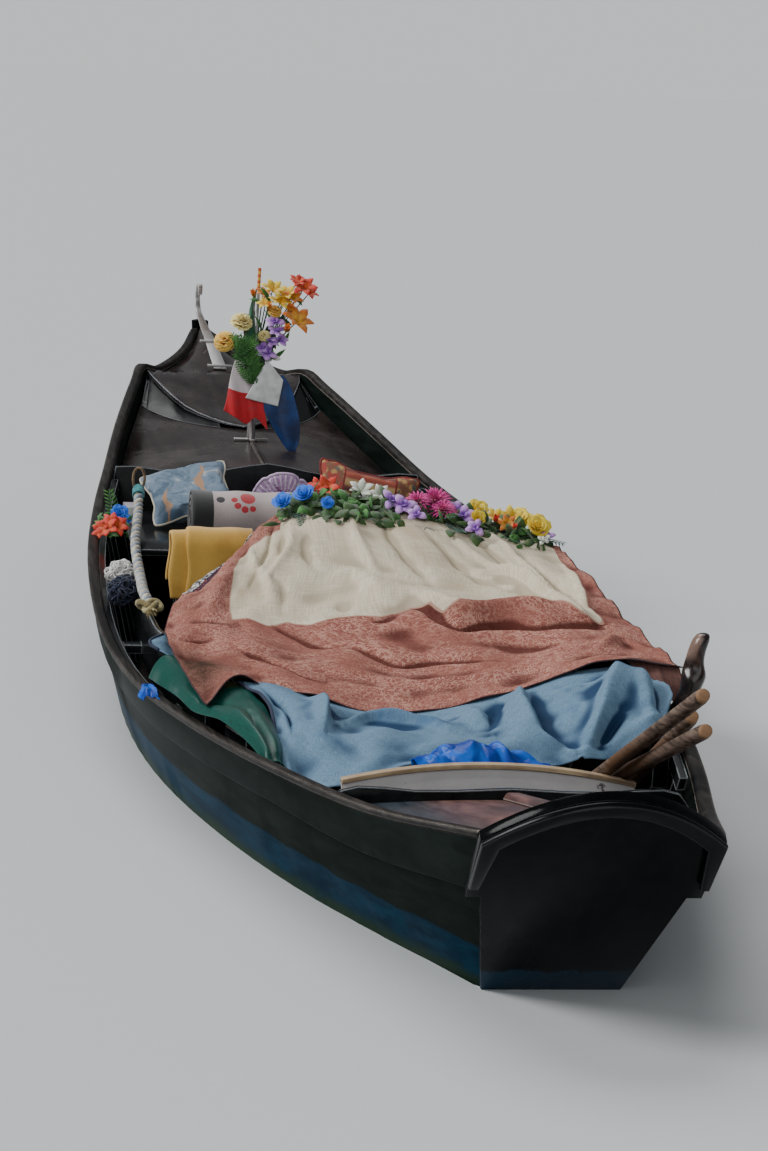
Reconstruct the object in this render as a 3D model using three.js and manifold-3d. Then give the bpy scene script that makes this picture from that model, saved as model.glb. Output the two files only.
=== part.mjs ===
// A flat-bottomed wooden rowing boat that carries passengers, dressed with its cover, cushions and flowers.
// Millimetres. +X is starboard, +Y is the bow, +Z is up. Inside this file y is measured forward from the
// transom's top corners and z from the flat bottom. The last lines centre the boat on its own length.
import * as THREE from 'three';
import { mergeVertices } from 'three/addons/utils/BufferGeometryUtils.js';
import Module from 'manifold-3d';

const wasm = await Module();
wasm.setup();

// Driving dimensions
const GAP = 0.3;
const FIT = 0.6;
const TRANSOM_TOP_Z = 510;
const TRANSOM_FOOT = { y: 380, z: 95 };
const TRANSOM_CROWN = 136;
const TRANSOM_THICK = 22;
const PLANK = 14;
const STRAKE_THICK = 24;
const RAIL = { height: 18, outside: 5, inside: 27, chamfer: 5 };
const BOTTOM_THICK = 16;
const DECK_THICK = 14;
const BULKHEAD_THICK = 16;
const FORE_COAMING_Y = 4716;
const AFT_COAMING_Y = 816;
const ARCH_Y = 1048;
const FLOOR = { from: 860, to: 4680, under: 16.4, top: 35 };
const SEAT = { from: 2140, to: 2950, half: 430, top: 380, board: 20 };
const BACK = { y: 2976, thick: 16 };
const BENCH = { half: 400, top: 470, board: 20 };
const HOLDER = { x: 0, y: 5150, height: 125, radius: 14 };

// Hull lines at sixteen ribs, from the transom to the stem: the outer top edge and the outer chine.
// Columns: sheerY, sheerHalf, sheerZ, chineY, chineHalf, chineZ
const LINES = [
  [0, 241, 510, 380, 140, 95],
  [500, 364, 439, 760, 262, 62],
  [1050, 494, 407, 1200, 385, 32],
  [1600, 603, 389, 1680, 480, 10],
  [2200, 683, 380, 2230, 552, 0],
  [2800, 711, 405, 2800, 582, 0],
  [3500, 685, 478, 3460, 565, 0],
  [4200, 611, 539, 4100, 495, 0],
  [4710, 537, 597, 4560, 415, 6],
  [5240, 453, 688, 5040, 318, 18],
  [5760, 352, 790, 5500, 210, 38],
  [5957, 311, 823, 5665, 168, 46],
  [6049, 251, 807, 5740, 148, 50],
  [6170, 192, 818, 5840, 123, 55],
  [6400, 108, 849, 6000, 82, 66],
  [6710, 34, 896, 6180, 34, 80],
];
// The top strake's depth and how far its lower edge stands proud. Columns: t, depth, proud
const STRAKE = [[0, 145, 30], [0.136, 95, 10], [0.6, 95, 10], [1, 120, 6]];

const v3 = (x, y, z) => new THREE.Vector3(x, y, z);
const lerp = THREE.MathUtils.lerp;
const sheer = new THREE.CatmullRomCurve3(LINES.map((r) => v3(r[1], r[0], r[2])), false, 'centripetal');
const chine = new THREE.CatmullRomCurve3(LINES.map((r) => v3(r[4], r[3], r[5])), false, 'centripetal');

// Straight interpolation in a table whose first column is the key.
function fromTable(table, key, column = 1) {
  const last = table.length - 1;
  if (key <= table[0][0]) return table[0][column];
  for (let i = 0; i < last; i++) {
    const [a, b] = [table[i], table[i + 1]];
    if (key <= b[0]) return lerp(a[column], b[column], (key - a[0]) / (b[0] - a[0]));
  }
  return table[last][column];
}

// A point of the hull's side on rib t, a fraction h of the way down from the sheer to the chine,
// moved inboard by inset.
function sidePoint(side, t, h, inset) {
  const p = sheer.getPoint(t).lerp(chine.getPoint(t), h);
  return v3(side * (p.x - inset), p.y, p.z);
}

// The rib whose side passes through station y at height z.
function ribAt(y, z) {
  let [low, high] = [0, 1];
  for (let i = 0; i < 40; i++) {
    const t = (low + high) / 2;
    const [top, foot] = [sheer.getPoint(t), chine.getPoint(t)];
    const h = (top.z - z) / (top.z - foot.z);
    if (lerp(top.y, foot.y, h) < y) low = t;
    else high = t;
  }
  const t = (low + high) / 2;
  const [top, foot] = [sheer.getPoint(t), chine.getPoint(t)];
  const h = (top.z - z) / (top.z - foot.z);
  return { t, h, half: lerp(top.x, foot.x, h) };
}

// Half the width between the inner faces at station y and height z.
function innerHalf(y, z) {
  const rib = ribAt(y, z);
  const [top, seam] = [RAIL.height / sideHeight(rib.t), seamFraction(rib.t)];
  const part = Math.min(1, Math.max(0, (rib.h - top) / (seam - top)));
  return rib.half - lerp(STRAKE_THICK, PLANK, part) - FIT;
}

// The sheer's height and half width at station y.
function sheerAt(y) {
  let [low, high] = [0, 1];
  for (let i = 0; i < 40; i++) {
    const t = (low + high) / 2;
    if (sheer.getPoint(t).y < y) low = t;
    else high = t;
  }
  const p = sheer.getPoint((low + high) / 2);
  return { half: p.x, z: p.z };
}

// The chine's height at station y, and the top of the floorboards there.
function chineHeight(y) {
  let [low, high] = [0, 1];
  for (let i = 0; i < 40; i++) {
    const t = (low + high) / 2;
    if (chine.getPoint(t).y < y) low = t;
    else high = t;
  }
  return chine.getPoint(low).z;
}
const floorTop = (y) => Math.max(chineHeight(y), 0) + FLOOR.top + GAP;

function sideHeight(t) {
  return sheer.getPoint(t).z - chine.getPoint(t).z;
}
function seamFraction(t) {
  return fromTable(STRAKE, t, 1) / sideHeight(t);
}

// A closed solid through rings of points. A ring runs out along one face and back along the other,
// so that its ends close as strips.
function loft(rings) {
  const n = rings[0].length;
  const last = (rings.length - 1) * n;
  const index = [];
  for (let i = 0; i < rings.length - 1; i++) {
    for (let j = 0; j < n; j++) {
      const [a, b] = [i * n + j, i * n + ((j + 1) % n)];
      index.push(a, a + n, b, b, a + n, b + n);
    }
  }
  for (let j = 0; j < n / 2 - 1; j++) {
    const [a, b, c, d] = [j, j + 1, n - 1 - j, n - 2 - j];
    index.push(a, b, d, a, d, c);
    index.push(last + a, last + d, last + b, last + a, last + c, last + d);
  }
  const points = rings.flat();
  const geometry = new THREE.BufferGeometry();
  geometry.setAttribute('position', new THREE.Float32BufferAttribute(points.flatMap((p) => [p.x, p.y, p.z]), 3));
  geometry.setIndex(volumeOf(points, index) < 0 ? index.reverse() : index);
  geometry.computeVertexNormals();
  return geometry;
}

function volumeOf(points, index) {
  let volume = 0;
  for (let i = 0; i < index.length; i += 3) {
    const [a, b, c] = [points[index[i]], points[index[i + 1]], points[index[i + 2]]];
    volume += a.dot(b.clone().cross(c)) / 6;
  }
  return volume;
}

// A plate between an upper and a lower grid of points.
function plate(upper, lower) {
  return loft(upper.map((row, i) => [...row, ...[...lower[i]].reverse()]));
}

// A cloth of one thickness under a smooth surface through a small net of points, [x, y, z] each.
function cloth(net, thick, along, across) {
  const rows = net.map((row) => new THREE.CatmullRomCurve3(row.map((p) => v3(...p))));
  const at = (u, v) => new THREE.CatmullRomCurve3(rows.map((row) => row.getPoint(u))).getPoint(v);
  const [upper, lower] = [[], []];
  const step = 0.002;
  for (let i = 0; i <= along; i++) {
    const [upperRow, lowerRow] = [[], []];
    for (let j = 0; j <= across; j++) {
      const [u, v] = [j / across, i / along];
      const p = at(u, v);
      const du = at(Math.min(u + step, 1), v).sub(at(Math.max(u - step, 0), v));
      const dv = at(u, Math.min(v + step, 1)).sub(at(u, Math.max(v - step, 0)));
      const normal = du.cross(dv).normalize();
      if (normal.z < 0) normal.negate();
      upperRow.push(p);
      lowerRow.push(p.clone().addScaledVector(normal, -thick));
    }
    upper.push(upperRow);
    lower.push(lowerRow);
  }
  return plate(upper, lower);
}

function solidOf(geometry) {
  const bare = geometry.clone();
  bare.deleteAttribute('normal');
  bare.deleteAttribute('uv');
  const merged = mergeVertices(bare);
  const vertProperties = Float32Array.from(merged.attributes.position.array);
  const triVerts = Uint32Array.from(merged.index.array);
  return new wasm.Manifold(new wasm.Mesh({ numProp: 3, vertProperties, triVerts }));
}

function geometryOf(solid) {
  const result = solid.getMesh();
  const geometry = new THREE.BufferGeometry();
  geometry.setAttribute('position', new THREE.BufferAttribute(result.vertProperties, 3));
  geometry.setIndex(new THREE.BufferAttribute(result.triVerts, 1));
  geometry.computeVertexNormals();
  return geometry;
}

function join(geometries) {
  return geometryOf(geometries.map(solidOf).reduce((a, b) => a.add(b)));
}

function cut(geometry, tools) {
  return geometryOf(tools.map(solidOf).reduce((a, b) => a.subtract(b), solidOf(geometry)));
}

// A box between two corners.
function box(x0, y0, z0, x1, y1, z1) {
  return new THREE.BoxGeometry(x1 - x0, y1 - y0, z1 - z0)
    .translate((x0 + x1) / 2, (y0 + y1) / 2, (z0 + z1) / 2);
}

// A board standing across the boat: an outline of [x, z] points, thickened aft from station y.
function crossBoard(outline, y, thick) {
  const shape = new THREE.Shape(outline.map(([x, z]) => new THREE.Vector2(x, z)));
  return new THREE.ExtrudeGeometry(shape, { depth: thick, bevelEnabled: false })
    .rotateX(Math.PI / 2).translate(0, y, 0);
}

// A round rod between two points.
function rod(a, b, radius, sides = 12) {
  const path = new THREE.LineCurve3(a, b);
  return alongPath(path, radius, 1, sides);
}

function alongPath(path, radius, steps, sides) {
  const section = new THREE.Shape();
  for (let i = 0; i < sides; i++) {
    const angle = (i / sides) * 2 * Math.PI;
    const [x, y] = [radius * Math.cos(angle), radius * Math.sin(angle)];
    if (i === 0) section.moveTo(x, y);
    else section.lineTo(x, y);
  }
  section.closePath();
  return new THREE.ExtrudeGeometry(section, { steps, extrudePath: path, bevelEnabled: false });
}

// A pillow: a box whose faces swell towards their middles.
function pillow(width, depth, height, cells = 6) {
  const geometry = new THREE.BoxGeometry(2, 2, 2, cells, cells, cells);
  const p = geometry.attributes.position;
  for (let i = 0; i < p.count; i++) {
    const [x, y, z] = [p.getX(i), p.getY(i), p.getZ(i)];
    const swell = (1 - x * x) * (1 - z * z);
    const [side, rise] = [0.94 + 0.06 * x * x, 0.94 + 0.06 * z * z];
    const belly = 0.35 + 0.65 * Math.sqrt(Math.max(swell, 0));
    p.setXYZ(i, (x * rise * width) / 2, (y * belly * depth) / 2, (z * side * height) / 2);
  }
  return geometry;
}

const FINISH = {
  blackPaint: { color: 0x0d100f, roughness: 0.25, metalness: 0 },
  hullPaint: { color: 0x141d1a, roughness: 0.4, metalness: 0 },
  bluePaint: { color: 0x10283f, roughness: 0.5, metalness: 0 },
  wornRail: { color: 0x4d453f, roughness: 0.5, metalness: 0 },
  deckVarnish: { color: 0x2b2524, roughness: 0.15, metalness: 0 },
  redWood: { color: 0x6b4740, roughness: 0.45, metalness: 0 },
  paleWood: { color: 0xa98257, roughness: 0.6, metalness: 0 },
  greyBoard: { color: 0x9a8f8c, roughness: 0.6, metalness: 0 },
  bareWood: { color: 0x6e5a4b, roughness: 0.75, metalness: 0 },
  walnut: { color: 0x2e1d16, roughness: 0.35, metalness: 0 },
  floorWood: { color: 0x3d3027, roughness: 0.7, metalness: 0 },
  iron: { color: 0x9c9a97, roughness: 0.4, metalness: 0.9 },
  linen: { color: 0xcfc2a8, roughness: 0.9, metalness: 0 },
  denim: { color: 0x6f8fa6, roughness: 0.9, metalness: 0 },
  greenCloth: { color: 0x0d5c4a, roughness: 0.45, metalness: 0 },
  bluePlastic: { color: 0x0b4fc4, roughness: 0.3, metalness: 0 },
  yellowCloth: { color: 0xd9a23b, roughness: 0.9, metalness: 0 },
  blueCushion: { color: 0x7c8ea2, roughness: 0.9, metalness: 0 },
  roseCloth: { color: 0xb9a3a1, roughness: 0.9, metalness: 0 },
  lilacLace: { color: 0xcdb2d6, roughness: 0.9, metalness: 0 },
  stripeCloth: { color: 0x8f4030, roughness: 0.9, metalness: 0 },
  leaves: { color: 0x2c5a2a, roughness: 0.7, metalness: 0 },
  petals: { color: 0xe0a23c, roughness: 0.7, metalness: 0 },
  flagCloth: { color: 0x1b7a3c, roughness: 0.8, metalness: 0 },
  blueFlag: { color: 0x173a7a, roughness: 0.8, metalness: 0 },
  paper: { color: 0xd8d8d2, roughness: 0.6, metalness: 0 },
  ropeYarn: { color: 0xa9a18f, roughness: 0.95, metalness: 0 },
  whiteYarn: { color: 0xe6e4df, roughness: 0.95, metalness: 0 },
  navyYarn: { color: 0x151d33, roughness: 0.95, metalness: 0 },
};

const boat = new THREE.Group();
function add(name, geometry, finish) {
  const mesh = new THREE.Mesh(geometry, new THREE.MeshStandardMaterial(finish));
  mesh.name = name;
  boat.add(mesh);
}

const SIDES = [['port', -1], ['starboard', 1]];
const RIB_STEPS = 60;
const ribs = (from, to, ring) => Array.from({ length: RIB_STEPS + 1 }, (_, i) => ring(lerp(from, to, i / RIB_STEPS)));

// Side planking: a wide lower plank and a top strake that overlaps it, each one loft per side.
for (const [name, side] of SIDES) {
  add(`side_plank_${name}`, loft(ribs(0, 1, (t) => {
    const seam = seamFraction(t) + GAP / sideHeight(t);
    return [sidePoint(side, t, seam, 0), sidePoint(side, t, 1, 0),
      sidePoint(side, t, 1, PLANK), sidePoint(side, t, seam, PLANK)];
  })), FINISH.hullPaint);
  add(`top_strake_${name}`, loft(ribs(0, 1, (t) => {
    const top = (RAIL.height + GAP) / sideHeight(t);
    const seam = seamFraction(t);
    return [sidePoint(side, t, top, 0), sidePoint(side, t, seam, -fromTable(STRAKE, t, 2)),
      sidePoint(side, t, seam, PLANK), sidePoint(side, t, top, STRAKE_THICK)];
  })), FINISH.hullPaint);
  // The rail caps the strake.
  add(`gunwale_rail_${name}`, loft(ribs(0, 1, (t) => {
    const section = [[-RAIL.outside, 0], [-RAIL.outside, RAIL.height - RAIL.chamfer], [0, RAIL.height],
      [RAIL.inside - RAIL.chamfer, RAIL.height], [RAIL.inside, RAIL.height - RAIL.chamfer], [RAIL.inside, 0]];
    return section.map(([inset, up]) => sidePoint(side, t, (RAIL.height - up) / sideHeight(t), inset));
  })), FINISH.wornRail);
}

// The raked plane of the transom: its station at height z.
function rakeY(z) {
  return ((TRANSOM_TOP_Z - z) * TRANSOM_FOOT.y) / (TRANSOM_TOP_Z - TRANSOM_FOOT.z);
}

// Bottom planking between the side planks, flat amidships and turned up at both ends.
add('bottom_planking', loft(ribs(0.002, 1, (t) => {
  const p = chine.getPoint(t);
  const half = p.x - PLANK - 2 * GAP;
  return [v3(-half, p.y, p.z), v3(half, p.y, p.z),
    v3(half, p.y, p.z + BOTTOM_THICK), v3(-half, p.y, p.z + BOTTOM_THICK)];
})), FINISH.bluePaint);

// Transom: a crowned board over the plank ends, on a rake, with a rounded rim round its top.
const RAKE = Math.atan2(TRANSOM_FOOT.y, TRANSOM_TOP_Z - TRANSOM_FOOT.z);
const upRake = (z) => (z - TRANSOM_TOP_Z) / Math.cos(RAKE);
const transomHalf = LINES[0][1];
const strakeFoot = upRake(TRANSOM_TOP_Z - STRAKE[0][1]);
const plankHalf = lerp(transomHalf, LINES[0][4], STRAKE[0][1] / (TRANSOM_TOP_Z - TRANSOM_FOOT.z));
const transomShape = new THREE.Shape();
transomShape.moveTo(-LINES[0][4], upRake(TRANSOM_FOOT.z));
transomShape.lineTo(LINES[0][4], upRake(TRANSOM_FOOT.z));
transomShape.lineTo(plankHalf, strakeFoot);
transomShape.lineTo(plankHalf + STRAKE[0][2], strakeFoot);
transomShape.lineTo(transomHalf, 0);
transomShape.quadraticCurveTo(0, 2 * TRANSOM_CROWN, -transomHalf, 0);
transomShape.lineTo(-plankHalf - STRAKE[0][2], strakeFoot);
transomShape.lineTo(-plankHalf, strakeFoot);
transomShape.closePath();
function onTransom(geometry, out) {
  return geometry.translate(0, 0, out).rotateX(Math.PI / 2 + RAKE).translate(0, 0, TRANSOM_TOP_Z);
}
const transomOptions = { depth: TRANSOM_THICK, bevelEnabled: false, curveSegments: 24 };
add('transom_board', onTransom(new THREE.ExtrudeGeometry(transomShape, transomOptions), GAP), FINISH.blackPaint);

const RIM = { width: 38, thick: 16, round: 5, leg: -150, legWidth: 22 };
const rimShape = new THREE.Shape();
rimShape.moveTo(transomHalf - 2, RIM.leg);
rimShape.lineTo(transomHalf, 0);
rimShape.quadraticCurveTo(0, 2 * TRANSOM_CROWN, -transomHalf, 0);
rimShape.lineTo(-transomHalf + 2, RIM.leg);
rimShape.lineTo(-transomHalf + RIM.legWidth, RIM.leg);
rimShape.lineTo(-transomHalf + RIM.width, -12);
rimShape.quadraticCurveTo(0, 2 * (TRANSOM_CROWN - RIM.width) + 12, transomHalf - RIM.width, -12);
rimShape.lineTo(transomHalf - RIM.legWidth, RIM.leg);
rimShape.closePath();
const rimGeometry = new THREE.ExtrudeGeometry(rimShape, {
  depth: RIM.thick - 2 * RIM.round, curveSegments: 24, bevelEnabled: true, bevelSegments: 2,
  bevelThickness: RIM.round, bevelSize: RIM.round, bevelOffset: -RIM.round,
});
add('transom_rim', onTransom(rimGeometry, TRANSOM_THICK + RIM.round + 2 * GAP), FINISH.blackPaint);

// Stem: a wedge forward of the plank ends, with a rounded sweep.
const STEM = { nose: 55, sweep: 28, noseHalf: 9, steps: 10, down: -32 };
const stemRings = Array.from({ length: STEM.steps + 1 }, (_, i) => {
  const s = i / STEM.steps;
  const foot = sidePoint(1, 1, lerp(1, STEM.down / sideHeight(1), s), 0);
  const nose = foot.y + STEM.nose + STEM.sweep * Math.sin(Math.PI * s);
  return [v3(-foot.x, foot.y + 1, foot.z), v3(foot.x, foot.y + 1, foot.z),
    v3(STEM.noseHalf, nose, foot.z), v3(-STEM.noseHalf, nose, foot.z)];
});
add('stem_post', loft(stemRings), FINISH.blackPaint);

// Upper foredeck: from the stem aft, its after edge swept from the rails down to the centre line.
// Columns: y, centre height
const UPPER_CENTRE = [[5330, 675], [5610, 705], [5940, 780], [6060, 801], [6220, 838], [6390, 874], [6560, 905], [6640, 918]];
// Lower foredeck, crowned at the coaming. Columns: y, edge height, centre height
const LOWER_DECK = [[4720, 515, 600], [5050, 565, 638], [5330, 622, 662], [5720, 706, 690]];
const UPPER_EDGE = { tip: 5330, sweep: 620, power: 1.3, front: 6640 };
const STEP_BACK = 255;

const upperEdgeZ = (y) => sheerAt(y).z - RAIL.height - 4;
function upperDeckPoint(s, y) {
  const edge = upperEdgeZ(y);
  const z = lerp(fromTable(UPPER_CENTRE, y), edge, Math.min(1, 1.12 * Math.abs(s)) ** 1.6);
  return v3(s * innerHalf(y, edge - DECK_THICK), y, z);
}
function lowerDeckPoint(s, y) {
  const edge = fromTable(LOWER_DECK, y, 1);
  return v3(s * innerHalf(y, edge - DECK_THICK), y, lerp(fromTable(LOWER_DECK, y, 2), edge, s * s));
}
const upperAftEdge = (s) => UPPER_EDGE.tip + UPPER_EDGE.sweep * Math.abs(s) ** UPPER_EDGE.power;
const stepFoot = (s) => upperAftEdge(s) - STEP_BACK * Math.abs(s) ** 1.1;

function deckGrid(columns, rows, point, thickness) {
  const [upper, lower] = [[], []];
  for (let i = 0; i <= rows; i++) {
    const points = Array.from({ length: columns + 1 }, (_, j) => point((2 * j) / columns - 1, i / rows));
    upper.push(points);
    lower.push(points.map((p, j) => p.clone().setZ(p.z - thickness((2 * j) / columns - 1))));
  }
  return plate(upper, lower);
}
const upperThickness = (s) => lerp(5, DECK_THICK, Math.min(1, Math.abs(s) * 2));
add('upper_foredeck', deckGrid(16, 24, (s, v) => {
  return upperDeckPoint(s, lerp(upperAftEdge(s), UPPER_EDGE.front, v));
}, upperThickness), FINISH.deckVarnish);
add('lower_foredeck', deckGrid(12, 10, (s, v) => {
  return lowerDeckPoint(s, lerp(FORE_COAMING_Y + 1, stepFoot(s) + 20, v));
}, () => DECK_THICK), FINISH.deckVarnish);

// The step boards close the wedge between the two foredecks.
const STEP_BOARD = 10;
for (const [name, side] of SIDES) {
  const rings = Array.from({ length: 13 }, (_, i) => {
    const s = side * lerp(0.2, 0.985, i / 12);
    const top = (forward) => {
      const p = upperDeckPoint(s, upperAftEdge(s) + 3 + forward);
      return p.setZ(p.z - upperThickness(s) - 2 * GAP - 4 * Math.abs(s) ** 8);
    };
    const foot = (forward) => {
      const p = lowerDeckPoint(s, stepFoot(s) + forward);
      return p.setZ(p.z + 1.6);
    };
    return [top(0), foot(0), foot(STEP_BOARD), top(STEP_BOARD)];
  });
  add(`foredeck_step_${name}`, loft(rings), FINISH.blackPaint);
}

// A worn batten covers the centre joint of the lower foredeck.
const BATTEN = { half: 9, thick: 8 };
const battenRings = [4725, 4900, 5050, 5098].map((y) => {
  const z = lowerDeckPoint(0, y).z + GAP;
  return [v3(-BATTEN.half, y, z), v3(BATTEN.half, y, z),
    v3(BATTEN.half - 3, y, z + BATTEN.thick), v3(-BATTEN.half + 3, y, z + BATTEN.thick)];
});
add('foredeck_batten', loft(battenRings), FINISH.wornRail);

// Bow iron: a flat strap down the deck's middle that rises from the stem head and curls back.
// Columns: y, z, width, thickness
const IRON = [
  [6050, 805, 48, 6], [6220, 842, 44, 6], [6390, 878, 38, 6], [6560, 909, 32, 6], [6700, 936, 24, 7],
  [6800, 962, 20, 9], [6838.6, 1005, 18, 11], [6808, 1052, 20, 12], [6770, 1052, 19, 11], [6762, 1022, 16, 9],
];
const ironPath = new THREE.CatmullRomCurve3(IRON.map(([y, z]) => v3(0, y, z)));
const IRON_STEPS = 36;
const ironRings = Array.from({ length: IRON_STEPS + 1 }, (_, i) => {
  const t = i / IRON_STEPS;
  const [p, tangent] = [ironPath.getPoint(t), ironPath.getTangent(t)];
  const [row, part] = [Math.min(Math.floor(t * 9), 8), (t * 9) % 1];
  const size = (c) => (t === 1 ? IRON[9][c] : lerp(IRON[row][c], IRON[row + 1][c], part)) / 2;
  const off = v3(0, -tangent.z, tangent.y).multiplyScalar(size(3));
  const across = v3(size(2), 0, 0);
  return [p.clone().sub(off).sub(across), p.clone().sub(off).add(across),
    p.clone().add(off).add(across), p.clone().add(off).sub(across)];
});
const ironBars = [[6064, 46, 814], [6360, 42, 878]].map(([y, half, z]) => box(-half, y - 6, z - 4, half, y + 6, z + 5));
add('bow_iron', join([loft(ironRings), ...ironBars]), FINISH.iron);

// Forward coaming: a bulkhead whose bracket-shaped top rises at the centre and at the rails.
// Columns: x, height of the top edge
const FORE_TOP = [[0, 624], [60, 616], [140, 600], [200, 591], [280, 588], [360, 594], [440, 603], [500, 600]];
const hullHalf = (y, z) => Math.min(innerHalf(y, z), innerHalf(y - BULKHEAD_THICK, z));
function bulkheadOutline(y, top, foot) {
  const sideHeights = [foot, 120, 240, 360, 480].filter((z) => z < top[top.length - 1][1] - 60);
  const half = sideHeights.map((z) => [hullHalf(y, z), z]);
  const shoulder = top[top.length - 1][1] - 32;
  const corner = [hullHalf(y, shoulder), shoulder];
  const right = [...half, corner, ...[...top].reverse()];
  const left = right.slice(0, -1).reverse().map(([x, z]) => [-x, z]);
  return [...right, ...left];
}
add('forward_coaming', crossBoard(bulkheadOutline(FORE_COAMING_Y, FORE_TOP, 30), FORE_COAMING_Y, BULKHEAD_THICK),
  FINISH.blackPaint);

// Aft coaming, lower, with a soft hump near each rail. Columns: x, height of the top edge
const AFT_TOP = [[0, 412], [120, 406], [210, 405], [280, 411], [335, 413], [372, 404]];
add('aft_coaming', crossBoard(bulkheadOutline(AFT_COAMING_Y, AFT_TOP, 82), AFT_COAMING_Y, BULKHEAD_THICK),
  FINISH.blackPaint);

// Aft deck: crowned boards that rise to the transom. Columns: y, edge height, centre height
const AFT_DECK = [[0, 474, 560], [60, 466, 545], [420, 405, 452], [800, 372, 388]];
function aftDeckPoint(s, y) {
  const edge = fromTable(AFT_DECK, y, 1);
  return v3(s * innerHalf(y, edge - DECK_THICK), y, lerp(fromTable(AFT_DECK, y, 2), edge, s * s));
}
const aftDeckEnd = (s) => rakeY(aftDeckPoint(s, 20).z - DECK_THICK - 5);
add('aft_deck', deckGrid(12, 8, (s, v) => {
  return aftDeckPoint(s, lerp(AFT_COAMING_Y - BULKHEAD_THICK - 1, aftDeckEnd(s), v));
}, () => DECK_THICK), FINISH.redWood);
const aftBattenRings = [0.01, 0.125, 0.25, 0.375, 0.5, 0.625, 0.75, 0.875, 0.96].map((v) => {
  const y = lerp(AFT_COAMING_Y - BULKHEAD_THICK - 1, aftDeckEnd(0), v);
  const z = aftDeckPoint(0, y).z + 1;
  return [v3(-24, y, z), v3(24, y, z), v3(15, y, z + 16), v3(-15, y, z + 16)];
});
add('aft_batten', loft(aftBattenRings), FINISH.redWood);

// Arched board that stands across the cockpit, with a pale cap strip bent over its top.
const ARCH = { half: 332, endZ: 368, crownZ: 406, thick: 16, cap: 10, capThick: 26 };
const archZ = (x) => lerp(ARCH.crownZ, ARCH.endZ, (x / ARCH.half) ** 2);
const archXs = Array.from({ length: 17 }, (_, i) => lerp(-ARCH.half, ARCH.half, i / 16));
const archFoot = floorTop(ARCH_Y - ARCH.thick) + 1;
add('arched_board', crossBoard([[-ARCH.half + 40, archFoot], [ARCH.half - 40, archFoot],
  ...[...archXs].reverse().map((x) => [x, archZ(x)])], ARCH_Y, ARCH.thick), FINISH.greyBoard);
add('arched_board_cap', crossBoard([...archXs.map((x) => [x, archZ(x) + GAP]),
  ...[...archXs].reverse().map((x) => [x, archZ(x) + GAP + ARCH.cap])], ARCH_Y + 5, ARCH.capThick), FINISH.paleWood);

// Ribs up each side, held by a stringer under the rail.
const RIB = { depth: 18, half: 11, spacing: 345, first: 1240, count: 10 };
const STRINGER = { from: 1090, to: 4660, down: 56, height: 28, depth: 20 };
for (const [name, side] of SIDES) {
  const stations = Array.from({ length: 25 }, (_, i) => lerp(STRINGER.from, STRINGER.to, i / 24));
  const stringer = loft(stations.map((y) => {
    const z = sheerAt(y).z - STRINGER.down;
    const corner = (depth, up) => v3(side * (innerHalf(y, z + up) - depth), y, z + up);
    return [corner(0.1, 0), corner(0.1, STRINGER.height), corner(STRINGER.depth, STRINGER.height),
      corner(STRINGER.depth, 0)];
  }));
  const frames = Array.from({ length: RIB.count }, (_, i) => {
    const y = RIB.first + i * RIB.spacing;
    const top = sheerAt(y).z - STRINGER.down + 10;
    return loft(Array.from({ length: 6 }, (_, j) => {
      const z = lerp(Math.max(chineHeight(y), 0) + BOTTOM_THICK + 3, top, j / 5);
      const corner = (dy, depth) => v3(side * (innerHalf(y + dy, z) - depth), y + dy, z);
      return [corner(-RIB.half, 0.1), corner(RIB.half, 0.1), corner(RIB.half, RIB.depth), corner(-RIB.half, RIB.depth)];
    }));
  });
  add(`ribs_${name}`, join([stringer, ...frames]), FINISH.blackPaint);
}

// Floorboards: one plate on the bottom with open seams cut between its boards.
const floorRings = Array.from({ length: 25 }, (_, i) => {
  const y = lerp(FLOOR.from, FLOOR.to, i / 24);
  const base = Math.max(chineHeight(y), 0) + FLOOR.under + GAP;
  const half = innerHalf(y, base) - 22;
  return [v3(-half, y, base), v3(half, y, base), v3(half, y, base + FLOOR.top - FLOOR.under),
    v3(-half, y, base + FLOOR.top - FLOOR.under)];
});
const seams = [-300, -180, -60, 60, 180, 300].map((x) => box(x - 3, FLOOR.from - 10, FLOOR.under + 6, x + 3, FLOOR.to + 10, 200));
add('floorboards', cut(loft(floorRings), seams), FINISH.floorWood);

// Side boards stand inboard of the ribs on small chocks. Their tops are scalloped.
// Columns: y, distance from the centre line, top height
const SIDE_BOARD = [
  [1720, 540, 412], [1900, 560, 432], [2080, 576, 456], [2260, 584, 474], [2440, 588, 462], [2620, 590, 470],
  [2800, 588, 482], [2980, 578, 476], [3160, 566, 470], [3340, 554, 486], [3520, 541, 492], [3700, 528, 480],
];
const SIDE_BOARD_THICK = 12;
const SIDE_BOARD_DEPTH = 150;
const CHOCK = { half: 30, height: 24, stations: [2000, 2750, 3450] };
for (const [name, side] of SIDES) {
  const board = loft(SIDE_BOARD.map(([y, x, z]) => [v3(side * x, y, z), v3(side * x, y, z - SIDE_BOARD_DEPTH),
    v3(side * (x + SIDE_BOARD_THICK), y, z - SIDE_BOARD_DEPTH), v3(side * (x + SIDE_BOARD_THICK), y, z)]));
  const chocks = CHOCK.stations.map((y) => {
    const z = sheerAt(y).z - STRINGER.down - 4;
    const reach = Math.min(innerHalf(y - CHOCK.half, z), innerHalf(y + CHOCK.half, z)) - STRINGER.depth - 0.5;
    const from = fromTable(SIDE_BOARD, y) + 4;
    return box(Math.min(side * from, side * reach), y - CHOCK.half, z, Math.max(side * from, side * reach),
      y + CHOCK.half, z + CHOCK.height);
  });
  add(`side_board_${name}`, join([board, ...chocks]), FINISH.blackPaint);
}

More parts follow.
